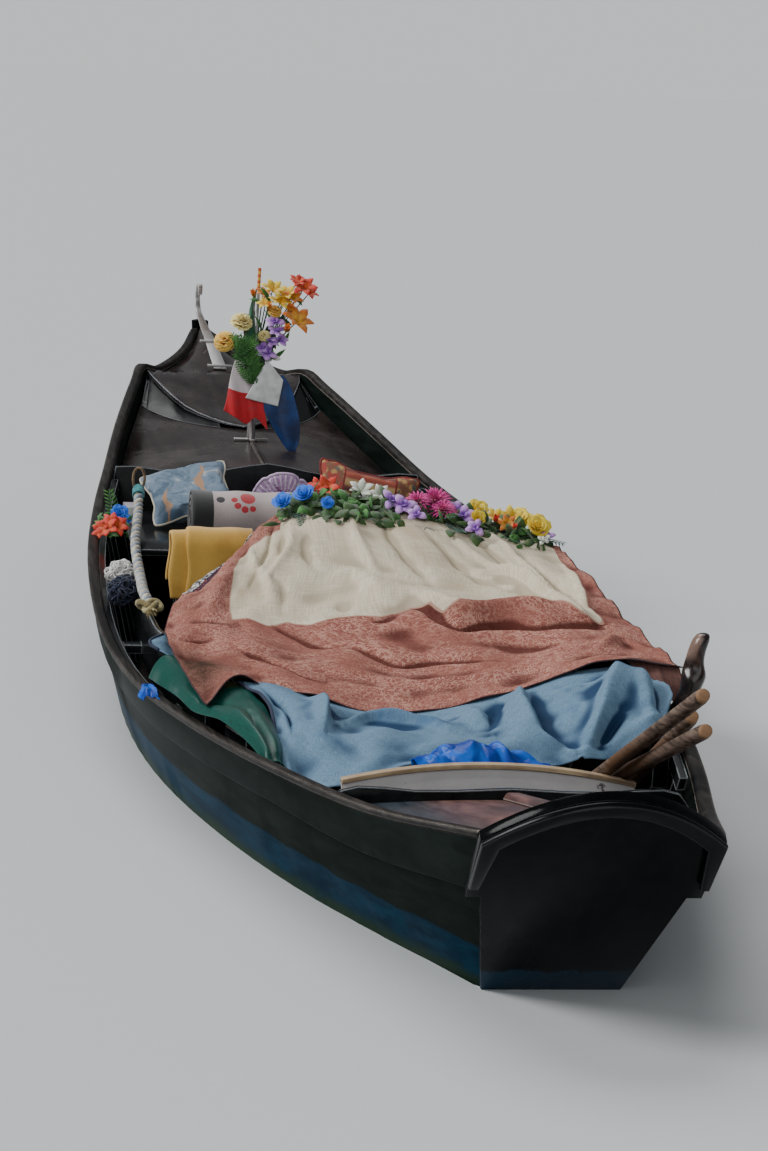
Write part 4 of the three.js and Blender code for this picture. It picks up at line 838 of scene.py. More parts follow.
points, flat = folded(plain, DENIM_FOLDS, 5, 0.0055, 0.12, 2.1)
calm = (np.clip((np.linspace(0, 1, len(plain)) - 0.78) / 0.16, 0, 1) * 0.85)[:, None, None]  # flat under the cover
points = points * (1 - calm) + plain * calm
denim = cloth_piece("denim_undercloth", points, flat, DENIM, DENIM_THICK, [("hollow", hollows(points, plain, 7))])
edge = [Vector(p) + Vector((-0.001, 0, 0.003)) for p in points[::2, 0]]
tape = mesh_piece("denim_edge_tape", *strand(edge, TAPE_RADIUS, 8, 0.8), navy_tape)
DENIM_CORNER_NET = [  # its other corner comes out at the cover's port edge
    [(-588, -1305, 452), (-602, -1303, 458), (-614, -1294, 463), (-628, -1282, 468)],
    [(-576, -1240, 464), (-600, -1245, 470), (-624, -1248, 478), (-648, -1250, 480)],
    [(-560, -1150, 478), (-575, -1150, 482), (-590, -1155, 488), (-606, -1170, 490)],
]
DENIM_CORNER_FOLD = (0.006, 0.014, 0.0, [(0.2, 0.5), (0.6, 0.55), (1.0, 0.5)])
points, flat = folded(net_surface(DENIM_CORNER_NET, 24, 18), [DENIM_CORNER_FOLD], 7, 0.001, 0.06)
corner_flap = cloth_piece("denim_port_corner", points, flat, DENIM, DENIM_THICK)
edge = [Vector(p) + Vector((-0.001, 0, 0.001)) for p in points[:, -1]]
corner_tape = mesh_piece("denim_corner_tape", *strand(edge, TAPE_RADIUS, 8, 0.8), navy_tape)
placed("denim", denim, tape, corner_flap, corner_tape, replaces="denim_cloth")

# GREEN SATIN: a dark green lining cloth, smooth and thin, pulled out from under the cover and heaped along
# the port side in narrow lengthwise folds.
GREEN_NET = [  # x, y, z in millimetres, from the middle outwards
    [(-436, -2196, 352), (-446, -2202, 376), (-460, -2208, 388), (-475, -2214, 384), (-490, -2220, 370)],
    [(-440, -2150, 380), (-452, -2160, 398), (-466, -2168, 409), (-480, -2176, 406), (-494, -2184, 392)],
    [(-432, -1950, 422), (-462, -1955, 444), (-492, -1955, 450), (-522, -1950, 444), (-550, -1945, 425)],
    [(-446, -1760, 444), (-484, -1750, 452), (-524, -1745, 447), (-562, -1745, 433), (-594, -1750, 408)],
    [(-475, -1610, 453), (-512, -1600, 456), (-548, -1590, 451), (-582, -1590, 436), (-612, -1600, 410)],
    [(-540, -1450, 464), (-565, -1440, 463), (-588, -1440, 455), (-608, -1445, 436), (-624, -1450, 402)],
    [(-600, -1320, 464), (-618, -1310, 461), (-634, -1305, 448), (-648, -1300, 428), (-658, -1300, 404)],
]
green_face, tree, shader = surface("green satin", Roughness=0.38, Specular_IOR_Level=0.25)
slub = effect_in(tree, weave, Place=flat_place(tree), Threads=3200.0, Slubs=40.0)["Slub"]
finished(tree, shader, between(tree, slub, (0.001, 0.042, 0.032), (0.002, 0.085, 0.062)), slub, 0.12, 0.0006)
GREEN_FOLDS = [
    (0.008, 0.022, 0.3, [(0.28, 0.03), (0.30, 0.18), (0.25, 0.36)]),
    (-0.020, 0.014, 0.0, [(0.48, 0.02), (0.50, 0.20), (0.42, 0.36)]),
    (0.016, 0.018, -0.2, [(0.74, 0.02), (0.70, 0.20), (0.66, 0.40)]),
    (0.009, 0.016, 0.0, [(0.90, 0.30), (0.85, 0.55), (0.90, 0.80)]),
    (-0.008, 0.012, 0.0, [(0.55, 0.42), (0.75, 0.50), (0.95, 0.52)]),
]
points, flat = folded(net_surface(GREEN_NET, 120, 60), GREEN_FOLDS, 8, 0.0025, 0.14)
green = cloth_piece("green_satin_cloth", points, flat, [green_face] * 3, 0.002)
placed("green_satin", green, replaces="green_cloth")

# BLUE PLASTIC: a thin film bag, crumpled hard, behind the arched board. A torn end of it is caught at the port
# rail, under the cloths.
BAG_NET = [  # x, y, z in millimetres, from port to starboard
    [(-150, -2314.6, 376), (-80, -2314.6, 388), (-10, -2314.6, 392), (70, -2314.6, 386), (160, -2314.6, 370)],
    [(-150, -2233, 398), (-80, -2233, 436), (-10, -2233, 442), (70, -2233, 430), (160, -2233, 392)],
    [(-150, -2193, 376), (-80, -2173, 396), (-10, -2163, 400), (70, -2173, 394), (160, -2193, 372)],
]
blue_film, tree, shader = surface("blue plastic film", Roughness=0.36, Specular_IOR_Level=0.22)
crease = node(tree, "ShaderNodeTexVoronoi", {"Vector": flat_place(tree), "Scale": 15.0},
              feature="DISTANCE_TO_EDGE").outputs["Distance"]
tone = between(tree, ramp(tree, crease, 0.0, 0.25), (0.003, 0.11, 0.56), (0.001, 0.038, 0.30))
finished(tree, shader, tone, ramp(tree, crease, 0.0, 0.2), 0.5, 0.004)


def crumpled(points, seed, height):
    """Presses sharp creases into a net of points."""
    crease, flat = random.Random(seed), flat_map(points)
    rise = np.zeros(points.shape[:2])
    for k in range(9):
        angle, phase, scale = crease.uniform(0, math.pi), crease.uniform(0, 1), crease.uniform(0.045, 0.15)
        way = flat @ (math.cos(angle), math.sin(angle)) / scale + phase + 0.35 * np.sin(flat @ (31, 17) + 6 * phase)
        rise += height * (np.abs(way % 1 - 0.5) * 2 - 0.5) * scale / 0.08
    return points + outward(points) * rise[..., None], flat


TORN_NET = [
    [(-690, -1366, 384), (-678, -1362, 402), (-664, -1366, 410), (-650, -1385, 404)],
    [(-690, -1398, 376), (-676, -1398, 400), (-660, -1404, 402), (-644, -1430, 388)],
    [(-680, -1425, 370), (-668, -1436, 384), (-652, -1450, 382), (-636, -1492, 372)],
]
for name, net, seed, stands_for, rest in (
    ("blue_film_end", net_surface(TORN_NET, 30, 30), 5, None, "capping_rail_port"),
    ("blue_film_bag", net_surface(BAG_NET, 60, 110), 3, "blue_bag", "arched_panel"),
):
    points, flat = crumpled(net, seed, 0.006)
    film = cloth_piece(name, points, flat, [blue_film] * 3, 0.002)
    placed("blue_plastic", film, replaces=stands_for)

# PASSENGER COVER: a bedspread thrown over the seat to keep it dry. Its middle is cream linen and its border a
# rose damask with pale scrolls, and it has a dark stitched hem and a woven braid along its port edge.
COVER_NET = [  # x, y, z in millimetres, from port to starboard
    [(-574, -1833, 446), (-469, -1663, 474), (-354, -1683, 449), (-264, -1713, 432), (-127, -1753, 414),
     (17, -1763, 432), (185, -1763, 478), (305, -1753, 516), (426, -1763, 554), (583, -1763, 529)],
    [(-611, -1463, 490), (-540, -1483, 481), (-401, -1463, 496), (-227, -1463, 475), (-52, -1463, 478),
     (97, -1463, 493), (247, -1463, 521), (387, -1503, 546), (514, -1483, 538), (590, -1483, 536)],
    [(-600, -1143, 516), (-520, -1163, 522), (-433, -1163, 529), (-336, -1163, 516), (-182, -1143, 531),
     (5, -1133, 573), (161, -1163, 586), (308, -1163, 593), (443, -1213, 587), (584, -1163, 560)],
    [(-507, -843, 556), (-420, -803, 590), (-340, -723, 606), (-251, -713, 617), (-89, -713, 622),
     (65, -763, 620), (230, -783, 600), (384, -813, 584), (482, -843, 580), (586, -843, 588)],
    [(-344, -513, 598), (-320, -493, 612), (-285, -463, 653), (-220, -433, 682), (-94, -433, 722),
     (47, -433, 714), (189, -433, 698), (333, -443, 674), (467, -463, 646), (574, -513, 625)],
    [(-262, -373, 652), (-240, -363, 662), (-200, -353, 690), (-150, -353, 714), (-80, -353, 727),
     (47, -353, 719), (189, -353, 702), (333, -353, 678), (467, -373, 648), (574, -413, 628)],
    [(-250, -333, 618), (-230, -323, 628), (-190, -318, 650), (-140, -318, 668), (-70, -318, 678),
     (47, -318, 672), (189, -318, 656), (333, -318, 636), (467, -328, 610), (574, -373, 590)],
]
linen, tree, shader, cream = woven_cloth(
    "linen and damask", (0.52, 0.45, 0.33), (0.74, 0.66, 0.52), (0.50, 0.40, 0.27), threads=2000.0, slubs=17.0,
    Roughness=0.85, Specular_IOR_Level=0.08)
place = flat_place(tree)
lines = []
for scale, swirl, fine in ((34.0, 1.6, 0.035), (70.0, 1.2, 0.05)):
    off = maths(tree, "ABSOLUTE", maths(tree, "SUBTRACT", mottle(tree, place, scale, swirl=swirl), 0.5))
    lines.append(ramp(tree, off, fine, fine * 0.3))
scroll = maths(tree, "MULTIPLY", maths(tree, "MAXIMUM", *lines), ramp(tree, mottle(tree, place, 7.0, 5.0), 0.25, 0.6))
slub = effect_in(tree, weave, Place=place, Threads=2000.0, Slubs=26.0)["Slub"]
rose = between(tree, slub, (0.21, 0.070, 0.055), (0.33, 0.122, 0.097))
rose = between(tree, scroll, rose, (0.50, 0.265, 0.205))
dirt = mottle(tree, place, 3.2, 9.0, rough=0.72)
rose = between(tree, maths(tree, "MULTIPLY", ramp(tree, dirt, 0.55, 0.75), 0.6), rose, (0.15, 0.065, 0.045))
port_tip = maths(tree, "MULTIPLY", point_mask(tree, "soiling"), ramp(tree, dirt, 0.25, 0.55))
rose = between(tree, port_tip, rose, (0.055, 0.030, 0.020))
seam = point_mask(tree, "seam")
panel = ramp(tree, seam, -0.0008, 0.0008)
# Painted shade: the cover's hollows are darkened, to deep rose on the border and to dull cream on the linen.
painted_crease_shade = maths(tree, "MULTIPLY", ramp(tree, point_mask(tree, "hollow"), 0.0003, 0.006), 0.9)
shade = between(tree, panel, (0.085, 0.022, 0.017), (0.42, 0.355, 0.255))
tone = between(tree, painted_crease_shade, between(tree, panel, rose, cream), shade)
tone = between(tree, ramp(tree, maths(tree, "ABSOLUTE", seam), 0.003, 0.001), tone, (0.42, 0.25, 0.19))  # stitches
tone = between(tree, ramp(tree, point_mask(tree, "hem"), 0.0035, 0.002), tone, (0.045, 0.022, 0.028))
braid = point_mask(tree, "braid")
motif = node(tree, "ShaderNodeTexVoronoi", {"Vector": place, "Scale": 95.0}, distance="CHEBYCHEV").outputs["Distance"]
black_white = between(tree, ramp(tree, motif, 0.38, 0.44), (0.60, 0.58, 0.56), (0.05, 0.045, 0.05))
dark_band = between(tree, ramp(tree, motif, 0.25, 0.3), (0.26, 0.07, 0.06), (0.035, 0.022, 0.045))
banded = between(tree, ramp(tree, braid, 0.5, 0.52), dark_band, black_white)
tone = between(tree, ramp(tree, braid, 0.02, 0.03), tone, banded)
tree.links.new(tone, shader.inputs["Base Color"])
lining = woven_cloth("brown lining", (0.075, 0.030, 0.025), (0.15, 0.065, 0.052), (0.05, 0.025, 0.02), Roughness=0.9)[0]
hem_tape = woven_cloth("dark hem", (0.03, 0.016, 0.02), (0.06, 0.03, 0.035), (0.02, 0.012, 0.014), Roughness=0.9)[0]

COVER_FOLDS = [
    (-0.016, 0.016, 0.3, [(0.345, 0.319), (0.359, 0.283), (0.373, 0.24), (0.411, 0.226), (0.417, 0.198), (0.441, 0.168),
                          (0.501, 0.17), (0.553, 0.154), (0.623, 0.134)]),
    (-0.030, 0.022, 0.45, [(0.551, 0.325), (0.573, 0.333), (0.591, 0.313), (0.589, 0.275), (0.605, 0.246),
                           (0.645, 0.251), (0.697, 0.251), (0.747, 0.238), (0.812, 0.244), (0.892, 0.261)]),
    (0.018, 0.030, 0.0, [(0.56, 0.37), (0.60, 0.37), (0.63, 0.31), (0.66, 0.295), (0.72, 0.300), (0.80, 0.30),
                         (0.86, 0.30)]),
    (-0.009, 0.012, 0.0, [(0.491, 0.303), (0.517, 0.301), (0.543, 0.313)]),
    (-0.010, 0.014, 0.2, [(0.182, 0.202), (0.22, 0.15), (0.269, 0.09), (0.317, 0.074)]),
    (-0.010, 0.012, 0.3, [(0.058, 0.246), (0.146, 0.257)]),
    (-0.007, 0.014, 0.0, [(0.104, 0.331), (0.206, 0.321)]),
    (0.010, 0.022, 0.0, [(0.804, 0.11), (0.884, 0.194), (0.96, 0.14)]),
    (-0.008, 0.012, 0.0, [(0.351, 0.591), (0.339, 0.545), (0.329, 0.493)]),
    (-0.008, 0.012, 0.0, [(0.401, 0.587), (0.385, 0.535), (0.395, 0.479), (0.421, 0.453)]),
    (0.011, 0.024, 0.3, [(0.228, 0.577), (0.248, 0.499), (0.323, 0.435), (0.343, 0.399)]),
    (0.010, 0.022, 0.0, [(0.445, 0.445), (0.467, 0.469), (0.515, 0.405), (0.545, 0.349)]),
    (-0.008, 0.014, 0.0, [(0.301, 0.459), (0.351, 0.427), (0.367, 0.363)]),
    (-0.008, 0.014, 0.0, [(0.463, 0.383), (0.477, 0.345)]),
    (0.024, 0.028, 0.4, [(0.695, 0.507), (0.747, 0.511), (0.80, 0.455), (0.85, 0.335), (0.868, 0.285)]),
    (-0.022, 0.024, 0.0, [(0.836, 0.585), (0.872, 0.525), (0.904, 0.347)]),
    (0.010, 0.012, 0.0, [(0.966, 0.597), (0.954, 0.527), (0.92, 0.353), (0.914, 0.281)]),
    (0.010, 0.030, 0.0, [(0.30, 0.16), (0.42, 0.10), (0.56, 0.08), (0.68, 0.10)]),
    (-0.008, 0.030, 0.0, [(0.62, 0.20), (0.72, 0.17), (0.80, 0.18)]),
    (0.014, 0.016, 0.3, [(0.80, 0.64), (0.86, 0.50), (0.90, 0.36)]),
    (-0.013, 0.013, 0.0, [(0.755, 0.63), (0.82, 0.48), (0.87, 0.33)]),
    (0.011, 0.018, 0.3, [(0.69, 0.63), (0.76, 0.50), (0.84, 0.38)]),
    (-0.010, 0.014, 0.0, [(0.64, 0.62), (0.69, 0.50), (0.76, 0.42)]),
    (0.010, 0.014, 0.3, [(0.37, 0.66), (0.36, 0.56), (0.31, 0.44)]),
    (-0.009, 0.011, 0.0, [(0.33, 0.66), (0.30, 0.56), (0.26, 0.44)]),
    (0.009, 0.013, 0.0, [(0.50, 0.66), (0.49, 0.56), (0.52, 0.42)]),
    (-0.009, 0.012, 0.0, [(0.56, 0.66), (0.57, 0.54), (0.61, 0.42)]),
]
SEAM_LINE = [
    (0.347, 0.615), (0.309, 0.609), (0.244, 0.587), (0.184, 0.553), (0.174, 0.483), (0.196, 0.429), (0.222, 0.349),
    (0.222, 0.337), (0.267, 0.339), (0.327, 0.327), (0.371, 0.341), (0.407, 0.321), (0.455, 0.327), (0.485, 0.323),
    (0.515, 0.313), (0.549, 0.329), (0.573, 0.339), (0.605, 0.329), (0.613, 0.297), (0.641, 0.299), (0.693, 0.321),
    (0.747, 0.331), (0.814, 0.327), (0.846, 0.313), (0.864, 0.281), (0.912, 0.271), (0.924, 0.353), (0.96, 0.527),
    (0.966, 0.597),
]


def inside(flat, loop):
    """True where flat points lie inside a closed loop."""
    odd = np.zeros(flat.shape[:-1], bool)
    for (ax, ay), (bx, by) in zip(loop, np.roll(loop, -1, 0)):
        spans = (ay > flat[..., 1]) != (by > flat[..., 1])
        at = ax + (flat[..., 1] - ay) * (bx - ax) / (by - ay if abs(by - ay) > 1e-12 else 1e-12)
        odd ^= spans & (flat[..., 0] < at)
    return odd


COVER_THICK = 0.003
plain = net_surface(COVER_NET, 210, 170)
RIDGES, FURROWS, NARROWER = 1.7, 1.5, 0.85  # how much stronger and narrower than listed
folds = [(rise * (RIDGES if rise > 0 else FURROWS), half * NARROWER, *rest) for rise, half, *rest in COVER_FOLDS]
points, flat = folded(plain, folds, 2, 0.0036, 0.12)
width, length = net_size(plain)
loop = np.array(SEAM_LINE + [(0.97, 1.2), (0.34, 1.2)]) * (width, length)
reach, _, _ = to_line(flat, np.array(SEAM_LINE) * (width, length))
seam_mask = np.where(inside(flat, loop), reach, -reach)
hem_mask = np.minimum(np.minimum(flat[..., 1], width - flat[..., 0]), flat[..., 0])
u, v = flat[..., 0] / width, flat[..., 1] / length
strip = np.clip(1 - flat[..., 0] / 0.075, 0, 1)
braid_mask = np.where((v > 0.46) & (v < 0.93), strip, 0)
soiling = 1.5 * np.exp(-(((u - 0.07) / 0.06) ** 2 + ((v - 0.13) / 0.07) ** 2))
soiling += 0.7 * np.exp(-(((u - 0.02) / 0.05) ** 2 + ((v - 0.03) / 0.07) ** 2))
cover = cloth_piece("linen_cover", points, flat, (linen, lining, hem_tape), COVER_THICK,
                    [("seam", seam_mask), ("hem", hem_mask), ("braid", braid_mask), ("soiling", np.clip(soiling, 0, 1)),
                     ("hollow", hollows(points, plain, 6))])
TURNED_NET = [  # the starboard corner's underside, which hangs down
    [(450, -1725, 552), (490, -1730, 550), (522, -1738, 547), (552, -1746, 543), (576, -1754, 537)],
    [(478, -1780, 515), (505, -1785, 510), (528, -1792, 506), (552, -1796, 502), (577, -1798, 497)],
    [(495, -1806, 492), (512, -1812, 482), (532, -1818, 474), (550, -1818, 466), (567, -1812, 454)],
]
TURNED_FOLD = (0.006, 0.010, 0.0, [(0.4, 0.1), (0.5, 0.9)])
points, flat = folded(net_surface(TURNED_NET, 24, 24), [TURNED_FOLD], 3, 0.001, 0.04)
turned = cloth_piece("cover_turned_corner", points, flat, (lining, lining, hem_tape), COVER_THICK)
placed("linen", cover, turned, replaces="passenger_cover")

# YELLOW BLANKET: thick brushed wool with soft edges, folded in half and hung over the port end of the seat's
# back, so that two layers show, one a little wider than the other.
yellow_wool, tree, shader = surface("yellow wool", Roughness=0.95, Sheen_Weight=0.35, Sheen_Roughness=0.6)
place = object_place(tree)
nap = mottle(tree, place, 420.0, 5.0)
cloud = mottle(tree, place, 8.0, 5.0)
tone = between(tree, nap, (0.52, 0.27, 0.035), (0.80, 0.50, 0.10))
finished(tree, shader, between(tree, ramp(tree, cloud, 0.45, 0.75), tone, (0.44, 0.23, 0.03)), nap, 0.5, 0.002)
# Columns: name, port edge, starboard edge, outward step, thickness, section as y and z pairs in millimetres
BLANKET_BACK = [(-438, 460), (-430, 520), (-426, 570), (-424, 616), (-412, 637), (-395, 642), (-378, 637),
                (-365, 617), (-360, 560), (-359, 500)]
BLANKET_LAYERS = [("blanket_under_layer", -512, -300, 0.0, 0.008), ("blanket_upper_layer", -466, -284, 0.009, 0.008)]
BLANKET_ROWS, BLANKET_COLUMNS = 60, 50
for name, port, starboard, step, thick in BLANKET_LAYERS:
    path = blend_points([(y / 1000, z / 1000) for y, z in BLANKET_BACK], np.linspace(0, 1, BLANKET_ROWS))
    way = np.gradient(path, axis=0)
    way /= np.linalg.norm(way, axis=-1, keepdims=True)
    path = path + np.stack([-way[:, 1], way[:, 0]], -1) * step
    across = np.linspace(port, starboard, BLANKET_COLUMNS) / 1000
    points = np.array([[(x + 0.0035 * math.sin(9 * y + 40 * z + step * 300), y, z) for x in across] for y, z in path])
    nearness = np.exp(-((across - across[0]) / 0.004) ** 2)
    waves = np.sin(np.linspace(0, 7, BLANKET_ROWS))[:, None] * np.sin(across * 60)[None, :]
    points = points + outward(points) * (0.0016 * waves - 0.003 * nearness[None, :])[..., None]
    layer = cloth_piece(name, points, flat_map(points), [yellow_wool] * 3, thick)
    applied(layer, "soft edges", "SUBSURF", levels=1, render_levels=1)
    placed("yellow_wool", layer, replaces="yellow_blanket" if step == 0 else None)


# STUFFED CUSHIONS: each is a sewn envelope filled with wadding, with piping in its seam. The blue one stands
# on its edge against the bulkhead, and the tapestry one leans to starboard.
CUSHION_CELLS, CUSHION_SKIN, FILLING_FRAMES = 30, 0.0055, 18


def stuffed(name, width, height, outline_power, puff, slot, stands_for, material, placing, piping, pipe_radius):
    """A flat envelope of cloth blown up by cloth simulation, with piping along its seam."""
    cells, points, faces = CUSHION_CELLS, [], []
    for face in (1, -1):
        for i in range(cells + 1):
            for j in range(cells + 1):
                a, b = 2 * j / cells - 1, 2 * i / cells - 1
                pinch = 1 - 0.05 * (1 - (a * b) ** 2) * max(abs(a), abs(b)) ** 3
                reach = (abs(a) ** outline_power + abs(b) ** outline_power) ** (1 / outline_power)
                r = max(abs(a), abs(b), 1e-9) / max(reach, 1e-9)
                rise = 0.004 + 0.010 * (1 - a**4) * (1 - b**4)
                points.append((a * r * pinch * width / 2, face * rise, b * r * pinch * height / 2))
        for i in range(cells):
            for j in range(cells):
                k = len(points) - (cells + 1) ** 2 + i * (cells + 1) + j
                quad = (k, k + 1, k + cells + 2, k + cells + 1)
                faces.append(quad if face < 0 else quad[::-1])
    count = (cells + 1) ** 2
    ring = list(range(cells)) + [cells + i * (cells + 1) for i in range(cells)]
    ring += [count - 1 - j for j in range(cells)] + [count - 1 - cells - i * (cells + 1) for i in range(cells)]
    for a, b in zip(ring, ring[1:] + ring[:1]):
        faces.append((a, b, b + count, a + count))
    rim = [Vector((points[k][0], 0, points[k][2])) for k in ring]
    piece = mesh_piece(name, points, faces, material)
    only(piece)
    bpy.ops.object.mode_set(mode="EDIT")
    bpy.ops.mesh.select_all(action="SELECT")
    bpy.ops.mesh.normals_make_consistent(inside=False)
    bpy.ops.object.mode_set(mode="OBJECT")
    applied(piece, "even mesh", "REMESH", mode="VOXEL", voxel_size=CUSHION_SKIN)
    before = np.array([v.co for v in piece.data.vertices])
    filling = piece.modifiers.new("filling", "CLOTH")
    cloth = filling.settings
    cloth.quality, cloth.mass, cloth.bending_stiffness = 6, 0.2, 0.35
    cloth.tension_stiffness = cloth.compression_stiffness = 12
    cloth.use_pressure, cloth.uniform_pressure_force = True, 4
    cloth.effector_weights.gravity = 0
    filling.point_cache.frame_start, filling.point_cache.frame_end = 1, FILLING_FRAMES
    for moment in range(1, FILLING_FRAMES + 1):
        bpy.context.scene.frame_set(moment)
    evaluated = piece.evaluated_get(bpy.context.evaluated_depsgraph_get())
    moved = np.array([v.co for v in evaluated.data.vertices])
    shift = moved - before
    far = np.linalg.norm(shift, axis=-1, keepdims=True)
    moved = before + shift * np.minimum(1, puff / np.maximum(far, 1e-9))
    piece.modifiers.remove(filling)
    bpy.context.scene.frame_set(1)
    # The filling draws the edges in, so the cushion is brought back to its cut width and height.
    moved = moved * (width / np.ptp(moved[:, 0]), 1, height / np.ptp(moved[:, 2]))
    for vertex, place in zip(piece.data.vertices, moved):
        vertex.co = place
    applied(piece, "even skin", "SMOOTH", factor=0.5, iterations=3)
    applied(piece, "round skin", "SUBSURF", levels=1, render_levels=1)
    near = [int(np.argmin(((before - p) ** 2).sum(-1))) for p in np.array(rim)]
    seam = np.array([(moved[k][0], 0.0, moved[k][2]) for k in near])
    seam = (np.roll(seam, 1, 0) + seam * 2 + np.roll(seam, -1, 0)) / 4
    centre = piece.data.attributes.new("from_centre", "FLOAT_VECTOR", "POINT")
    centre.data.foreach_set("vector", np.array([v.co for v in piece.data.vertices]).ravel())
    piece.data.transform(placing)
    bpy.ops.object.shade_smooth()
    line = [placing @ Vector(p * 1.006) for p in np.concatenate([seam, seam[:2]])]
    placed(slot, piece, mesh_piece(f"{name}_piping", *strand(line, pipe_radius, 8, 1), piping), replaces=stands_for)


def cushion_place(tree):
    """Places measured from a cushion's own centre."""
    return node(tree, "ShaderNodeAttribute", attribute_name="from_centre").outputs["Vector"]


def cells_in(tree, place, scale):
    """Distance from the middles of scattered cells."""
    return node(tree, "ShaderNodeTexVoronoi", {"Vector": place, "Scale": scale}).outputs["Distance"]


blue_print, tree, shader = surface("blue cloud canvas", Roughness=0.85)
place = cushion_place(tree)
cloud = mottle(tree, place, 14.0, 8.0, rough=0.7, swirl=1.0)
tone = between(tree, ramp(tree, cloud, 0.35, 0.52), (0.060, 0.105, 0.16), (0.15, 0.21, 0.28))
tone = between(tree, ramp(tree, cloud, 0.54, 0.64), tone, (0.42, 0.44, 0.46))
branch = node(tree, "ShaderNodeTexWave",
              {"Vector": place, "Scale": 2.6, "Distortion": 7.0, "Detail": 3.0, "Detail Scale": 2.0})
twig = ramp(tree, branch.outputs["Fac"], 0.95, 0.985)
part = ramp(tree, mottle(tree, place, 7.0), 0.48, 0.55)
tone = between(tree, maths(tree, "MULTIPLY", twig, part), tone, (0.36, 0.21, 0.12))
slub_finish(tree, shader, place, tone, 2500.0, 30.0, 0.3, 0.0006)
cream_piping, _, _ = surface("cream piping", Base_Color=(0.52, 0.48, 0.38, 1), Roughness=0.8)


def leaned(lean, tilt, x, y, z):
    """Where a cushion stands: leant back, then tilted, then set down."""
    return Matrix.Translation((x, y, z)) @ Matrix.Rotation(tilt, 4, "Y") @ Matrix.Rotation(lean, 4, "X")


stuffed("blue_cushion", 0.272, 0.292, 9, 0.024, "blue_canvas", "cushion_blue", blue_print,
        leaned(-1.15, -0.24, -0.300, 0.967, 0.5688), cream_piping, 0.0035)

tapestry, tree, shader = surface("striped tapestry", Roughness=0.8)
place = cushion_place(tree)
up = maths(tree, "MULTIPLY_ADD", mottle(tree, place, 6.0), 0.012, along_axis(tree, place, "Z"))
stripes = node(tree, "ShaderNodeValToRGB", {"Fac": maths(tree, "FRACT", maths(tree, "MULTIPLY_ADD", up, 8.0, 0.5))})
stripes.color_ramp.interpolation = "LINEAR"
STRIPES = [
    (0.0, (0.30, 0.05, 0.035)), (0.10, (0.50, 0.10, 0.06)), (0.16, (0.44, 0.26, 0.10)), (0.28, (0.50, 0.33, 0.14)),
    (0.34, (0.09, 0.03, 0.03)), (0.42, (0.16, 0.05, 0.04)), (0.50, (0.46, 0.30, 0.12)), (0.60, (0.52, 0.36, 0.16)),
    (0.68, (0.34, 0.07, 0.05)), (0.78, (0.48, 0.12, 0.07)), (0.88, (0.13, 0.04, 0.04)), (1.0, (0.42, 0.27, 0.11)),
]
while len(stripes.color_ramp.elements) < len(STRIPES):
    stripes.color_ramp.elements.new(0.5)
for stop, (at, colour) in zip(stripes.color_ramp.elements, STRIPES):
    stop.position, stop.color = at, (*colour, 1)
floral = between(tree, ramp(tree, cells_in(tree, place, 42.0), 0.25, 0.6), (0.52, 0.30, 0.11), (0.24, 0.10, 0.06))
rosy = mottle(tree, place, 36.0, 4.0)
floral = between(tree, ramp(tree, rosy, 0.56, 0.62), floral, (0.40, 0.06, 0.045))
floral = between(tree, ramp(tree, rosy, 0.40, 0.36), floral, (0.13, 0.14, 0.12))
side = maths(tree, "ABSOLUTE", along_axis(tree, place, "X"))
tone = between(tree, ramp(tree, side, 0.086, 0.088), stripes.outputs["Color"], floral)
tone = between(tree, ramp(tree, maths(tree, "COMPARE", side, 0.0875, 0.003), 0.4, 0.6), tone, (0.22, 0.02, 0.022))
slub_finish(tree, shader, place, tone, 1600.0, 40.0, 0.5, 0.001)
red_piping, _, _ = surface("red piping", Base_Color=(0.20, 0.018, 0.02, 1), Roughness=0.7)
stuffed("tapestry_cushion", 0.335, 0.137, 9, 0.022, "tapestry", "cushion_striped", tapestry,
        leaned(-0.35, 0.19, 0.315, 1.229, 0.564), red_piping, 0.0040)

lilac_lace, tree, shader = surface("lilac crochet", Roughness=0.9)
place = cushion_place(tree)
around = maths(tree, "ARCTAN2", along_axis(tree, place, "X"), along_axis(tree, place, "Z"))
ribs_in = maths(tree, "SINE", maths(tree, "MULTIPLY", around, 30.0))
ring = node(tree, "ShaderNodeVectorMath", {0: place, 1: (1.0, 0.0, 1.0)}, operation="MULTIPLY")
ring = node(tree, "ShaderNodeVectorMath", {0: ring.outputs[0]}, operation="LENGTH").outputs["Value"]
holes = cells_in(tree, place, 120.0)
tone = between(tree, ramp(tree, holes, 0.25, 0.55), (0.64, 0.47, 0.68), (0.46, 0.26, 0.50))
tone = between(tree, ramp(tree, ribs_in, 0.2, 0.7), tone, (0.74, 0.60, 0.76))
squiggle = ramp(tree, mottle(tree, place, 40.0, swirl=2.0), 0.54, 0.58)
middle = maths(tree, "MULTIPLY", squiggle, ramp(tree, ring, 0.062, 0.056))
tone = between(tree, middle, tone, (0.26, 0.05, 0.20))
finished(tree, shader, tone, maths(tree, "MULTIPLY_ADD", ribs_in, 0.5, holes), 0.6, 0.002)
lilac_edge, _, _ = surface("lilac edging", Base_Color=(0.60, 0.44, 0.64, 1), Roughness=0.9)
stuffed("crochet_cushion", 0.182, 0.182, 2, 0.020, "lilac_lace", "cushion_lace", lilac_lace,
        leaned(0.45, 0, -0.004, 0.977, 0.5606), lilac_edge, 0.005)

